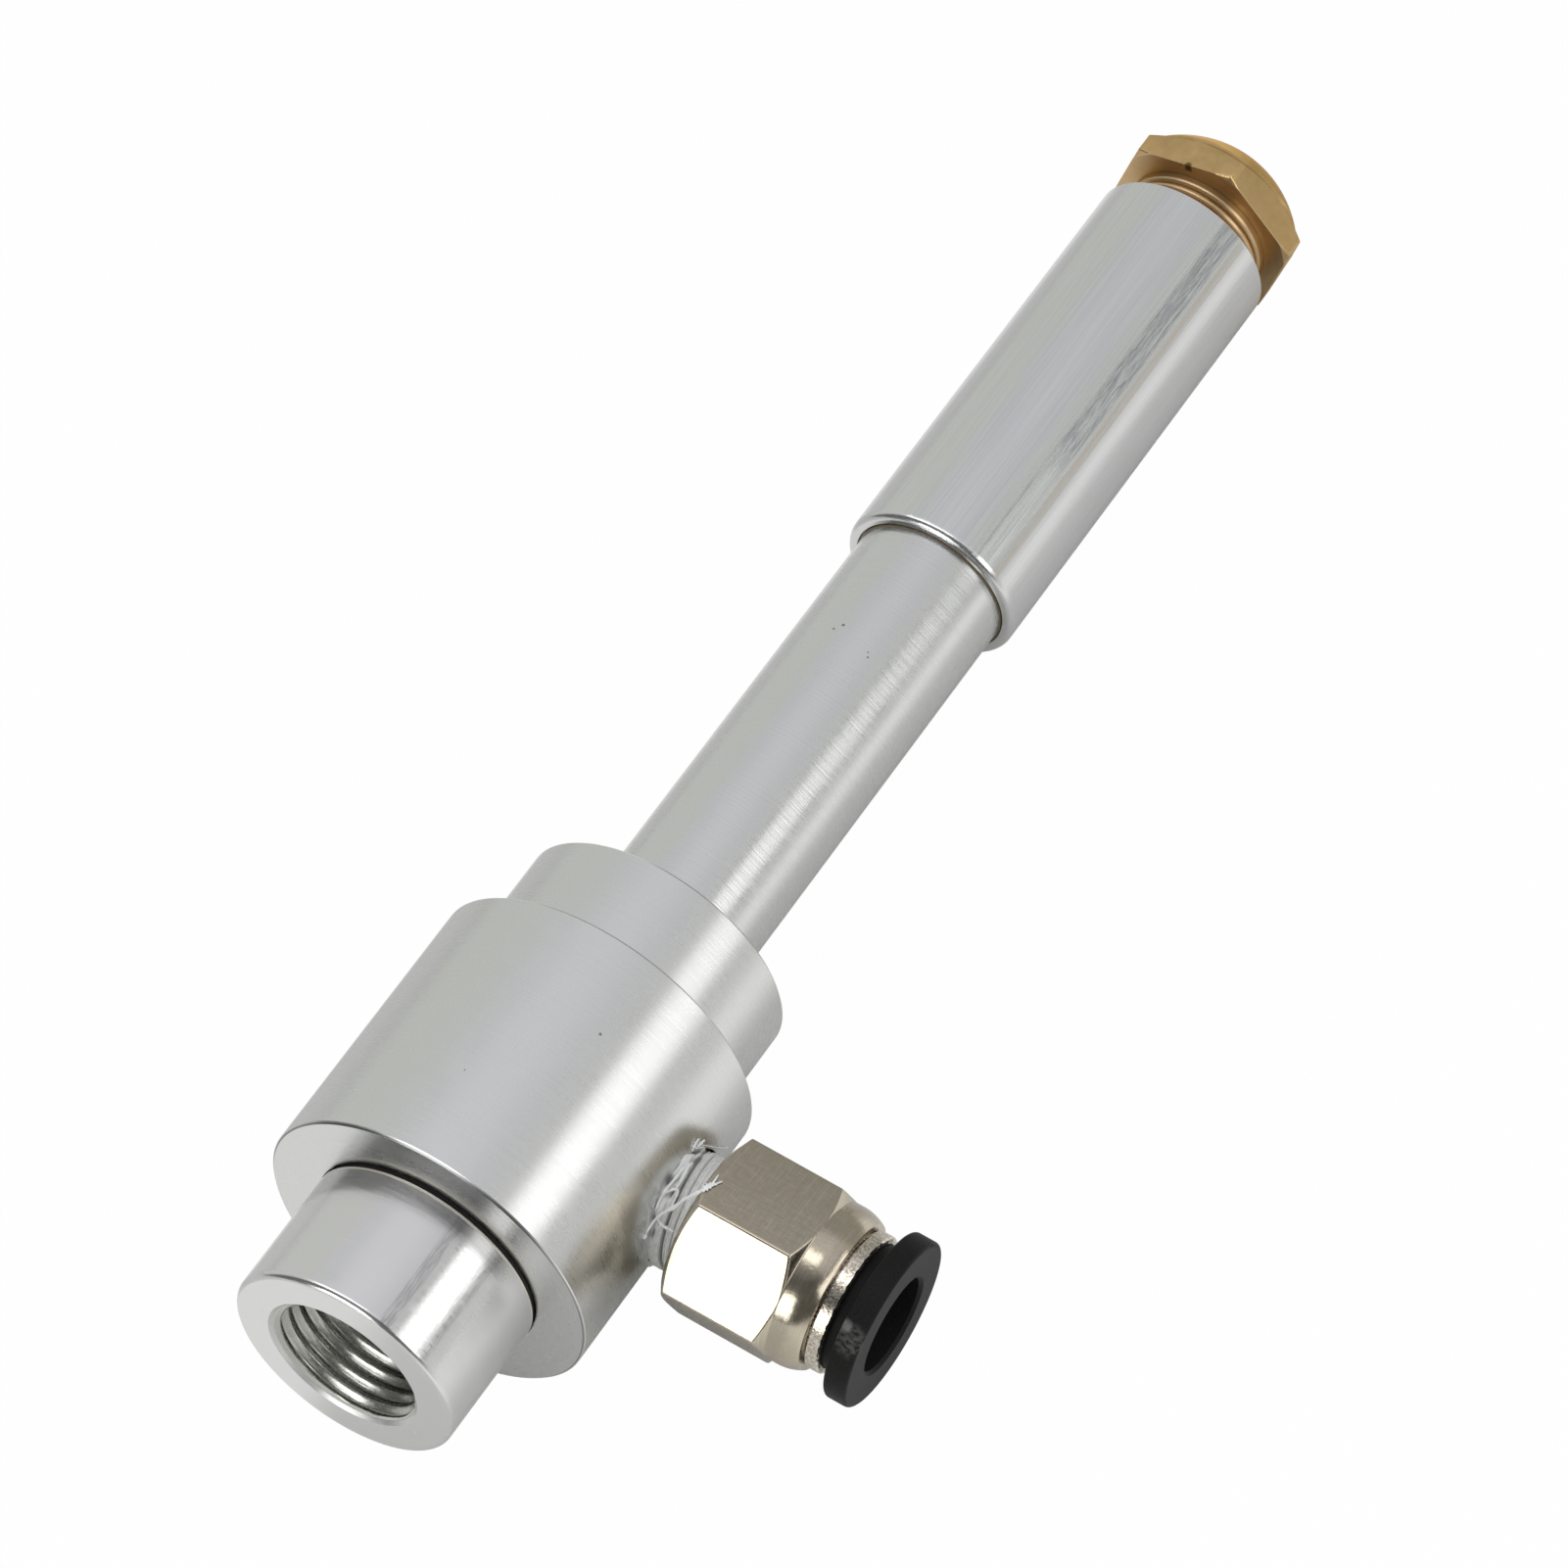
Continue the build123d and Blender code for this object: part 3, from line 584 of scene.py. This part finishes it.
# %% Valve shank
head_start, shank_start, nose_start, tip_start = 131.25, 118.5, 114.5, 108.5
bore, neck, nose_radius, tip_radius = 3.0, 5.80, 5.4, 1.0
thread_start, thread_stop, thread_ease = 121.4, 129.62, 0.35
rear_ring, front_ring, rear_crest, front_crest = 130.80, 129.93, 6.44, 6.42
turns = full_turn(120)
seat = np.linspace(head_start - 0.02, thread_start, 240)[:, None]
ease_in = np.clip((thread_stop - seat) / thread_ease, 0, 1) * np.clip((seat - thread_start) / thread_ease, 0, 1)
threaded = neck + (thread_radius(seat, turns[None]) - neck) * ease_in
rings = np.maximum(ring_radius(seat, rear_ring, 0.46, rear_crest), ring_radius(seat, front_ring, 0.38, front_crest))
rings = np.where(seat > rear_ring, rear_crest, rings)
threaded = np.maximum(threaded, rings)
groove = [(121.3, 5.9), (120.95, 5.33), (119.6, 5.33), (119.6, 6.4), (118.7, 6.4), (shank_start, 6.2)]
nose_shape = [(shank_start, nose_radius), (nose_start, nose_radius), (tip_start, tip_radius), (tip_start, 0.0)]
bore_shape = [(nose_start, 0.0), (nose_start, bore), (head_start, bore), (head_start, neck)]
middle_rows = np.stack([seat + 0 * turns, threaded], -1)
shank = np.concatenate([all_round(bore_shape), middle_rows, all_round(groove + nose_shape)])
shank_points = about_tube(shank[..., 0], shank[..., 1], turns[None])
skin("valve_shank", shank_points, "valve_group", brass.material, 50)

# %% [markdown]
# ## Hexagons
# The valve's head and the fitting both start as hexagonal bar and get their ends turned, so the ends of the
# flats are curves. A hexagon's radius is half its width over the cosine of the angle from the nearest flat's
# middle. Where the profile is worked out for each column with that radius, the chamfer meets each flat on the
# true curve. The corners are slightly rounded, as handled bar is, and columns crowd together there. One corner of
# the valve's rear face is nicked.

# %% Hexagon shape
def hexagon(turn, across, corner, rounding):
    """Half the width over cos(angle from the flat's middle), and near a corner the far side of a circle
    of the rounding's radius that touches both flats."""
    half, sixth = across / 2, np.pi / 6
    off = np.abs((turn - corner) % (2 * sixth) - sixth)
    centre = (half - rounding) / np.cos(sixth)
    inner = centre * np.sin(sixth - off)
    on_corner = centre * np.cos(sixth - off) + np.sqrt(np.maximum(rounding**2 - inner**2, 0))
    return np.where(off > np.arctan((half - rounding) * np.tan(sixth) / half), on_corner, half / np.cos(off))


def hexagon_turns(corner, steps=44):
    """Angles round a hexagon, close together at its corners: s - 0.97 sin(2 pi s) / (2 pi) in each sixth."""
    s = np.arange(steps) / steps
    crowded = s - 0.97 * np.sin(2 * np.pi * s) / (2 * np.pi)
    return (corner + (np.arange(6)[:, None] + crowded[None]) * np.pi / 3).ravel()


print("a sharp corner's radius is", round(1 / np.cos(np.pi / 6), 4), "of a flat's")

# %% Valve head
flat_end, dome_start, across_flats, dome, seat_radius = 134.05, 134.40, 15.6, 9.7, 8.35
valve_corner, nick_turn = np.radians(-44.1), 103.0
end_slope, seat_slope = np.tan(np.radians(35)), np.tan(np.radians(14))
turns = hexagon_turns(valve_corner)
reach = hexagon(turns, across_flats, valve_corner, 0.10)
half = across_flats / 2
dome_centre = dome_start - np.sqrt(dome**2 - half**2)
rim = bore + 0.4
lean = np.linspace(np.arcsin(half / dome), np.arcsin(rim / dome), 16)
dome_end = dome_centre + dome * np.cos(lean[-1])
chamfer_start = flat_end - (reach - half) * end_slope
rear_start = head_start + np.maximum(reach - seat_radius, 0) * seat_slope
steps = [(head_start, bore), (head_start, np.minimum(reach, seat_radius)), (rear_start + 0.002, reach)]
steps += [(chamfer_start, reach), (flat_end, half), (dome_start, half)]
outer = all_round(steps, axis=1)
crown = np.stack([dome_centre + dome * np.cos(lean), dome * np.sin(lean)], -1)
crown = np.broadcast_to(crown, (len(turns), *crown.shape))
nick = np.exp(-(((np.degrees(turns) - nick_turn + 180) % 360 - 180) ** 2) / 3.0)
cut = np.array([0.02, 0.16, 0.07, 0.12]) + nick[:, None] * np.array([0, 0.30, 0, 0])
edge = eased(outer, cut, 5)
last = np.broadcast_to(np.array([[dome_end - 0.4, bore], [head_start, bore]]), (len(turns), 2, 2))
head = np.concatenate([edge[:, :-1], crown, last], axis=1).transpose(1, 0, 2)
head_points = about_tube(head[..., 0], head[..., 1], turns[None])
valve_head = skin("valve_head", head_points, "valve_group", brass.material, 24)
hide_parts("control_valve")

# %% [markdown]
# ## The nozzle's thread
# The cold nozzle takes a G1/4 male thread. The CAD's bore is plain at the thread's full diameter, so the
# thread is a thin liner inside it. A tap leaves it softer than the valve's: its section is close to a sine. A
# steep countersink opens it at the mouth, and it runs out before the end. It is a ring, so its first row comes
# back at the end.

# %% Nozzle thread
turns = full_turn(160)
wall, crest_radius, root_radius = 6.574, 6.06, 6.57
mouth_station, thread_end, crest_station = 0.29, 10.98, 0.55
run_out_end, run_out_length, countersink_start, countersink_slope = 10.6, 1.2, 0.28, 2.2
depth_line = np.linspace(mouth_station, thread_end, 300)[:, None]
phase = (depth_line - crest_station) / pitch + turns[None] / (2 * np.pi)
cut_thread = (crest_radius + root_radius) / 2 + (root_radius - crest_radius) / 2 * np.cos(2 * np.pi * phase)
run_out = np.clip((run_out_end - depth_line) / run_out_length, 0, 1)
cut_thread = crest_radius + (cut_thread - crest_radius) * run_out
countersink = wall - (depth_line - countersink_start) * countersink_slope
opened = np.minimum(np.maximum(cut_thread, countersink), wall - 0.004)
stations = np.concatenate([depth_line, depth_line[-1:], depth_line[:1], depth_line[:1]])
radii = np.concatenate([opened, np.full((2, len(turns)), wall), opened[:1]])
thread_points = about_tube(stations, radii, turns[None])
skin("nozzle_thread", thread_points, "housing_group", thread_finish, 50)

# %% [markdown]
# ## The nozzle's rear lip
# A black gap parts the nozzle from the housing. The nozzle's rear edge is rolled over there and polished, and its
# light warm colour is a painted highlight, so a fine bright line runs beside the dark one.

# %% Nozzle lip
turns = full_turn(180)
lean = np.linspace(0, np.pi / 2, 4)
lip_start, lip_end, lip_inside, roll = 11.40, 11.64, 9.80, 0.06
lip_station = np.concatenate([[lip_start], lip_end - roll + roll * np.sin(lean), [lip_end, lip_start, lip_start]])
rolled_radius = nozzle_radius - roll + roll * np.cos(lean)
lip_radius = np.concatenate([[nozzle_radius], rolled_radius, [lip_inside, lip_inside, nozzle_radius]])
lip_points = about_tube(lip_station[:, None], lip_radius[:, None], turns[None])
# painted highlight: the lip's metal is lighter and warmer than the nozzle's, so its edge shows as a bright line
polished_edge_highlight = Finish("polished_edge_highlight", Metallic=1.0, Base_Color=colour(0.95, 0.91, 0.83), Roughness=0.45)
skin("nozzle_lip", lip_points, "housing_group", polished_edge_highlight.material, 40)

# %% [markdown]
# ## The bead at the sleeve's mouth
# The hot tube is glued into the sleeve, and a thin bead of thread compound shows as a brown line where they
# meet; its dark colour is also painted shade for the corner. It is a small half-round ring that lies in the corner
# between the tube and the sleeve's front face.

# %% Compound bead
turns = full_turn(140)
lean = np.linspace(0, np.pi / 2, 5)
uneven = 1 + 0.25 * np.sin(3 * turns + 0.6) + 0.20 * np.sin(7 * turns + 2.0)
bead_front = sleeve_front + 0.02 - 0.16 * np.sin(lean)
bead_station = np.concatenate([[sleeve_front + 0.12], bead_front, [sleeve_front + 0.12]])[:, None]
bead_rise = np.concatenate([[0.07], 0.07 * np.cos(lean), [0.0]])[:, None] * uneven
bead_station, bead_rise = np.concatenate([bead_station, bead_station[:1]]), np.concatenate([bead_rise, bead_rise[:1]])
bead_points = about_tube(bead_station, tube_radius - 0.005 + bead_rise, turns[None])
# painted shade: the bead's dark colour stands for the shade in the corner, as well as the brown compound
skin("compound_and_shade_bead", bead_points, "housing_group", compound_and_shade_finish, 60)

# %% [markdown]
# ## The fitting's body
# One piece of hexagonal bar: a stem with a taper thread, which the tape hides, a hexagon with both ends
# chamfered, and a shoulder that rounds over to the mouth. The shoulder is an arc, and the socket inside it
# follows the CAD's steps, because the collar and the rings sit in it.

# %% Fitting body
hex_start, hex_end, mouth_reach = 16.6, 26.4, 29.15
fitting_flats, rear_face, shoulder, shoulder_end, land = 14.0, 6.5, 6.98, 6.45, 0.8
stem_start, stem_radius, passage, socket_radius, air_tube_radius = 9.95, 4.70, 3.0, 5.85, 4.1
spacer_seat, tube_stop = 22.4, 19.4
fitting_corner = np.radians(51.6)
turns = hexagon_turns(fitting_corner)
reach = hexagon(turns, fitting_flats, fitting_corner, 0.30)
slope = np.tan(np.radians(30))
steps = [(stem_start, stem_radius), (hex_start, stem_radius), (hex_start, rear_face)]
steps += [(hex_start + (reach - rear_face) * slope, reach), (hex_end - (reach - shoulder) * slope, reach)]
steps += [(hex_end, np.minimum(shoulder, reach)), (hex_end + land, shoulder)]
outer = eased(all_round(steps, axis=1), [0.0, 0.10, 0.12, 0.16, 0.10], 4)
drop, run = shoulder - shoulder_end, mouth_reach - hex_end - land
round_over = (run**2 + drop**2) / (2 * drop)
bend = np.linspace(0, np.arcsin(run / round_over), 14)[1:]
arc = np.stack([hex_end + land + round_over * np.sin(bend), shoulder - round_over * (1 - np.cos(bend))], -1)
socket = [(mouth_reach, socket_radius), (spacer_seat, socket_radius), (spacer_seat, air_tube_radius)]
socket += [(tube_stop, air_tube_radius), (tube_stop, passage), (stem_start, passage), (stem_start, stem_radius)]
rest = np.concatenate([arc, np.array(socket)])
rest = np.broadcast_to(rest, (len(turns), *rest.shape))
body = np.concatenate([outer, rest], axis=1).transpose(1, 0, 2)
body_points = about_fitting(body[..., 0], body[..., 1], turns[None])
fitting_body = skin("fitting_body", body_points, "housing_group", nickel.material, 24)
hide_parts("inlet_fitting")

# %% [markdown]
# ## The end ring
# A pressed ring holds the collar in the fitting's mouth. Its outer edge towards the collar is bitten by the
# tool that pressed it in, so that edge has small uneven teeth: its reach and its radius both follow a sum of
# waves round the ring.

# %% End ring
turns = full_turn(240)
bites = 0.5 + 0.28 * np.sin(31 * turns) + 0.22 * np.sin(53 * turns + 1.1)
steps = [(28.12, 5.50), (28.12, 5.72), (29.10, 5.72), (29.12, 5.60), (29.36, 5.60), (29.38, 5.98), (29.44, 6.05)]
steps += [(30.46 - 0.09 * bites, 6.05), (30.60 - 0.04 * bites, 5.93 - 0.06 * bites)]
steps += [(30.60, 5.70), (30.60, 5.50), (28.12, 5.50)]
ring = all_round(steps)
ring_points = about_fitting(ring[..., 0], ring[..., 1], turns[None])
end_ring = skin("end_ring", ring_points, "housing_group", bright.material, 24)
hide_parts("fitting_end_ring")

# %% [markdown]
# ## Thread tape
# White sealing tape is wound on the stem on a steep slant and pulled tight. One dark groove shows where a turn
# ends, with a fainter one and fine lines beside it, and next to the housing the tape is loose and lumpy, with one
# deep hole. Its radius is the wound sleeve's, less the grooves, plus the lines and the lumps, and painted shade
# makes it darker the deeper it lies.

# %% Wound tape
turns = full_turn(260)
tape_start, winding, groove_reach, groove_turn, loose_end = 12.6, 3.3, 14.32, 0.129, 14.75
reaches = np.linspace(tape_start, hex_start + 0.25, 150)[:, None]
slant = (reaches - groove_reach) / winding - (turns[None] / (2 * np.pi) - groove_turn)
from_groove = winding * (slant - np.round(slant))
groove_depth = 0.22 * np.exp(-((from_groove / 0.13) ** 2)) + 0.12 * np.exp(-(((from_groove - 0.75) / 0.06) ** 2))
step = 0.10 * (slant % 1.0)
lines = 0.034 * np.sin(2 * np.pi * slant * 9) + 0.018 * np.sin(2 * np.pi * slant * 17 + 1.0)
loose = np.clip((loose_end - reaches) / 0.35, 0, 1)
lumps = 0.13 * np.sin(9 * turns[None] - 2.2 * reaches + 0.6) + 0.09 * np.sin(17 * turns[None] + 5.0 * reaches)
hole = np.exp(-(((turns[None] - 0.60) / 0.22) ** 2) - ((reaches - 14.0) / 0.40) ** 2)
wound_radius = stem_radius + 0.23
tape_radius = wound_radius + step + lines - groove_depth + loose * (0.10 + lumps) - 0.45 * hole
tape_radius = np.maximum(tape_radius, stem_radius + 0.03)
stations = np.concatenate([reaches, reaches[-1:], reaches[:1], reaches[:1]])
radii = np.concatenate([tape_radius, np.full((2, len(turns)), stem_radius), tape_radius[:1]])
tape = Finish("thread_tape", Metallic=0.0, Subsurface_Weight=0.25, Subsurface_Scale=1.0)
tape.shader.inputs["Subsurface Radius"].default_value = (0.6 * MM, 0.6 * MM, 0.6 * MM)
fibres = tape.noise(fitting_grain(tape, 0.07, 0.6, 0.6), 2.0)
tone = tape.blend(fibres.between(0.25, 0.6), colour(0.70, 0.715, 0.70), colour(0.95, 0.96, 0.94))
reach, radius, _ = place_on_fitting(tape)
# painted shade: the tape turns dark grey where its radius is small, in the hollows and grooves
painted_hollow_shade = 1 - (radius + reach.between(14.3, 14.8) * 0.13).between(4.90, 5.11)
tape.feed("Base Color", tape.blend(painted_hollow_shade * 0.8, tone, colour(0.13, 0.13, 0.12)))
tape.feed("Roughness", fibres * 0.3 + 0.25)
ridges(tape, fibres, 0.012)
wound = skin("wound_tape", about_fitting(stations, radii, turns[None]), "housing_group", tape.material)
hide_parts("thread_tape")

# %% [markdown]
# ## Loose threads of tape
# Where the tape was torn, its edge frays into threads. One long thread crosses from the hexagon's upper flat to
# the housing and forks at its end, one lies along the torn edge, and short ones stand up at the top. Each is a
# flat ellipse carried along a smooth path and drawn to a point at both ends. A path's points are millimetres
# along the tube, along the fitting and square to both, from where the two axes cross.

# %% Threads
strands = Finish("tape_strands", Base_Color=colour(0.95, 0.96, 0.96), Roughness=0.35, Sheen_Weight=0.5)


def smooth_path(points, count=60):
    """Points at equal steps on the broken line, averaged with weights 1, 2, 1 until its corners are gone."""
    points = np.array(points, float)
    travel = np.concatenate([[0], np.cumsum(np.linalg.norm(np.diff(points, axis=0), axis=1))])
    even = np.linspace(0, travel[-1], count)
    path = np.stack([np.interp(even, travel, points[:, part]) for part in range(3)], -1)
    for _ in range(12):
        path[1:-1] = (path[:-2] + 2 * path[1:-1] + path[2:]) / 4
    return path


def tape_thread(name, points, width, thick):
    """centre + width cos(a) aside + thick sin(a) away, with both shrinking as sqrt(sin(pi s)) to the ends."""
    path = smooth_path(points)
    along = np.gradient(path, axis=0)
    along /= np.linalg.norm(along, axis=1, keepdims=True)
    away = path * np.array([1.0, 0.0, 1.0])
    away -= along * np.sum(away * along, axis=1, keepdims=True)
    away /= np.linalg.norm(away, axis=1, keepdims=True)
    aside = np.cross(along, away)
    s = np.linspace(0, 1, len(path))[:, None, None]
    full = np.sqrt(np.maximum(np.sin(np.pi * s), 0)) * (1 + 0.25 * np.sin(23 * s) + 0.15 * np.sin(41 * s + 1))
    angle = full_turn(10)[None, :, None]
    ring = width * np.cos(angle) * aside[:, None] + thick * np.sin(angle) * away[:, None]
    points = path[:, None] + full * ring
    return skin(name, branch + MM * (points @ axes), "housing_group", strands.material, 60)


long_thread = [
    (0.44, 17.23, 7.12), (-0.84, 17.35, 7.33), (-1.70, 17.03, 7.46), (-2.05, 16.24, 6.45), (-2.35, 15.81, 5.90),
    (-2.85, 15.40, 5.05), (-3.22, 14.79, 4.42), (-3.60, 14.45, 4.00), (-4.10, 14.25, 3.62), (-4.55, 14.20, 3.42),
    (-5.43, 14.27, 3.10),
]
threads = {
    "long_thread": (long_thread, 0.15, 0.06),
    "forked_tip": ([(-1.55, 17.10, 7.44), (-0.70, 17.45, 7.30), (0.06, 17.83, 7.17)], 0.10, 0.05),
    "thread_knot": ([(-5.20, 14.24, 3.14), (-5.42, 14.28, 3.14), (-5.62, 14.34, 3.10)], 0.16, 0.10),
    "torn_edge": (
        [(1.02, 14.10, 5.20), (-0.74, 14.11, 5.32), (-2.19, 13.92, 4.95), (-3.07, 13.95, 4.45), (-3.62, 14.04, 3.98)],
        0.12, 0.12,
    ),
    "thin_thread": ([(3.30, 13.85, 4.40), (4.42, 14.36, 2.97), (5.35, 14.56, 1.68), (6.60, 14.66, 0.10)], 0.08, 0.06),
    "thread_web": ([(-1.75, 17.02, 7.45), (-1.20, 17.15, 7.42), (-0.62, 17.33, 7.33)], 0.24, 0.04),
    "branch_thread": (
        [(-3.84, 14.33, 3.78), (-4.07, 15.03, 3.52), (-4.03, 15.54, 3.57), (-4.04, 16.08, 3.56)],
        0.12, 0.06,
    ),
    "loop_thread": (
        [(-2.39, 13.81, 4.79), (-1.56, 14.46, 5.14), (-1.50, 14.85, 5.16), (-2.37, 14.98, 4.81)]
        + [(-2.84, 14.96, 4.56)],
        0.11, 0.06,
    ),
    "inner_thread": (
        [(-1.54, 14.53, 5.14), (-1.15, 14.62, 5.25), (-0.12, 14.52, 5.37), (1.06, 14.33, 5.26)],
        0.11, 0.06,
    ),
    "tuft_left": ([(2.2, 13.75, 4.85), (2.75, 13.70, 5.10), (3.27, 13.72, 5.30)], 0.12, 0.08),
    "tuft_right": ([(2.6, 13.85, 4.75), (3.30, 13.90, 4.70), (3.80, 13.98, 4.62)], 0.14, 0.08),
    "tuft_front": ([(2.9, 13.90, 4.40), (3.30, 13.95, 4.10), (3.70, 14.10, 3.60)], 0.10, 0.08),
}
for name, (points, width, thick) in threads.items():
    tape_thread(name, points, width, thick)

# %% [markdown]
# ## The table and the light
# The photograph has a pure white ground and no strong shadow. The floor is pale and also glows white where
# the camera looks at it, which hides most of the shadow without putting more light on the part. Soft boxes
# stand where the metal's highlights say they were: a long one low in front with a dark border, one at the cold
# end, and one overhead that lies across the part. The room is dark towards the cold end and dim towards the
# hot end, which gives the plated fitting its contrast, and slightly bluer overhead than at the sides.

# %% Floor
def white_ground(name):
    """A pale matt floor. The camera sees it nearly white, and metal sees a pool of light before the part and a
    dimmer strip behind it, at these millimetres in front of the tube's axis."""
    ground = Finish(name, Metallic=0.0, Roughness=0.9, Base_Color=colour(0.82, 0.82, 0.81))
    flat = np.array([1.0, 1.0, 0.0])
    level = side * flat / np.linalg.norm(side * flat)
    before = ground.parts(grain(ground, nose * flat, level, np.cross([0, 0, 1], level), (1, 1, 1)))[0]
    pool, strip = before.within(40.0, 70.0, 22.0), before.within(-31.0, -13.0, 6.0)
    whitened = (ground.sees("Camera") + ground.sees("Transmission")) * 0.985
    seen = whitened + ground.sees("Glossy") * (pool * 0.92 + strip * 0.6 + 0.04)
    glow = ground.node("ShaderNodeEmission", None, {"Color": colour(1, 1, 1), "Strength": 1.0})
    matt = Amount(ground, ground.shader.outputs[0])
    mixed = ground.node("ShaderNodeMixShader", None, {0: seen, 1: matt, 2: glow})
    ground.tree.links.new(mixed.socket, ground.tree.nodes["Material Output"].inputs["Surface"])
    return ground.material


def flat_card(name, half_width, half_height, material):
    """A rectangle in the plane z = 0 with its middle at the origin: x = +-half_width, y = +-half_height."""
    mesh = bpy.data.meshes.new(name)
    corners = [(-half_width, -half_height, 0), (half_width, -half_height, 0)]
    corners += [(half_width, half_height, 0), (-half_width, half_height, 0)]
    mesh.from_pydata(corners, [], [(0, 1, 2, 3)])
    mesh.materials.append(material)
    return bpy.data.objects.new(name, mesh)


spread = 4.0
floor = flat_card("floor", spread, spread, white_ground("white_ground"))
bpy.context.scene.collection.objects.link(floor)
print("floor is", 2 * spread, "metres wide")

# %% World
class Studio(Finish):
    """The room around the part, with a material's own methods."""

    def __init__(self, name):
        world = bpy.data.worlds.new(name)
        world.use_nodes = True
        bpy.context.scene.world = world
        self.tree = world.node_tree
        self.shader = self.tree.nodes["Background"]

    def towards(self, direction):
        """The cosine between the way that is looked and a direction."""
        way = self.node("ShaderNodeTexCoord", None, None, "Generated")
        settings = {"operation": "DOT_PRODUCT"}
        return self.node("ShaderNodeVectorMath", settings, {0: way, 1: tuple(direction)}, "Value")


studio = Studio("studio")
towards_hot = studio.towards(tube)
overhead = studio.towards(0.985 * over - 0.174 * side)
room_tint = studio.blend(overhead.between(0.55, 0.80), colour(0.985, 1.0, 0.96), colour(0.975, 0.975, 1.02))
cold_side = 1 - towards_hot.between(-0.40, -0.05)
hot_side = towards_hot.between(0.58, 0.68)
room_level = 0.66 - cold_side * 0.53 - hot_side * 0.24 + overhead.between(0.78, 0.92) * 0.12
studio.feed("Color", room_tint)
studio.feed("Strength", room_level)
plain_white = studio.node("ShaderNodeBackground", None, {"Color": colour(1, 1, 1), "Strength": 1.0})
room = Amount(studio, studio.shader.outputs[0])
shown = studio.node("ShaderNodeMixShader", None, {0: studio.sees("Camera"), 1: room, 2: plain_white})
studio.tree.links.new(shown.socket, studio.tree.nodes["World Output"].inputs["Surface"])
print("world: dark towards the cold end, bluish overhead")


# %% Soft boxes
def placed(thing, aim, direction, distance, wide):
    """Puts a lamp or a card at a distance from `aim`, facing it, with its width along `wide`. It lights the part
    and shows in its metal, and never stands in the camera's way."""
    way = np.array(direction) @ axes
    way /= np.linalg.norm(way)
    wide = wide - way * (wide @ way)
    wide /= np.linalg.norm(wide)
    turned = np.eye(4)
    turned[:3, 0], turned[:3, 1], turned[:3, 2] = wide, np.cross(way, wide), way
    turned[:3, 3] = np.array(aim) + way * distance
    thing.matrix_world = Matrix(turned.tolist())
    thing.visible_camera = False
    bpy.context.scene.collection.objects.link(thing)
    return thing


def soft_box(name, aim, direction, distance, width, height, bright, wide):
    """An area light that faces `aim` from a direction given along the tube, the fitting and square to both.
    `bright` is how bright its face looks, where 1 is white, and a lamp's watts are pi times that times its area."""
    light = bpy.data.lights.new(name, "AREA")
    light.shape, light.size, light.size_y = "RECTANGLE", width, height
    light.energy = np.pi * bright * width * height
    return placed(bpy.data.objects.new(name, light), aim, direction, distance, wide)


middle = nose + 50 * MM * tube
in_front = (-0.02, 0.80, 0.60)
soft_box("front_box", middle, in_front, 0.60, 0.70, 0.285, 1.9, tube)
soft_box("cold_end_box", branch, (-0.925, -0.256, 0.281), 0.60, 0.34, 0.34, 3.0, side)
soft_box("overhead_box", middle, (-0.05, -0.35, 0.93), 0.90, 0.24, 0.90, 1.8, tube)
print("soft boxes stand in front, at the cold end and overhead")

# %% The front box's dark border
card = placed(flat_card("box_border", 0.39, 0.190, rubber_finish), middle, in_front, 0.604, tube)
print("floor, world and soft boxes are in place")
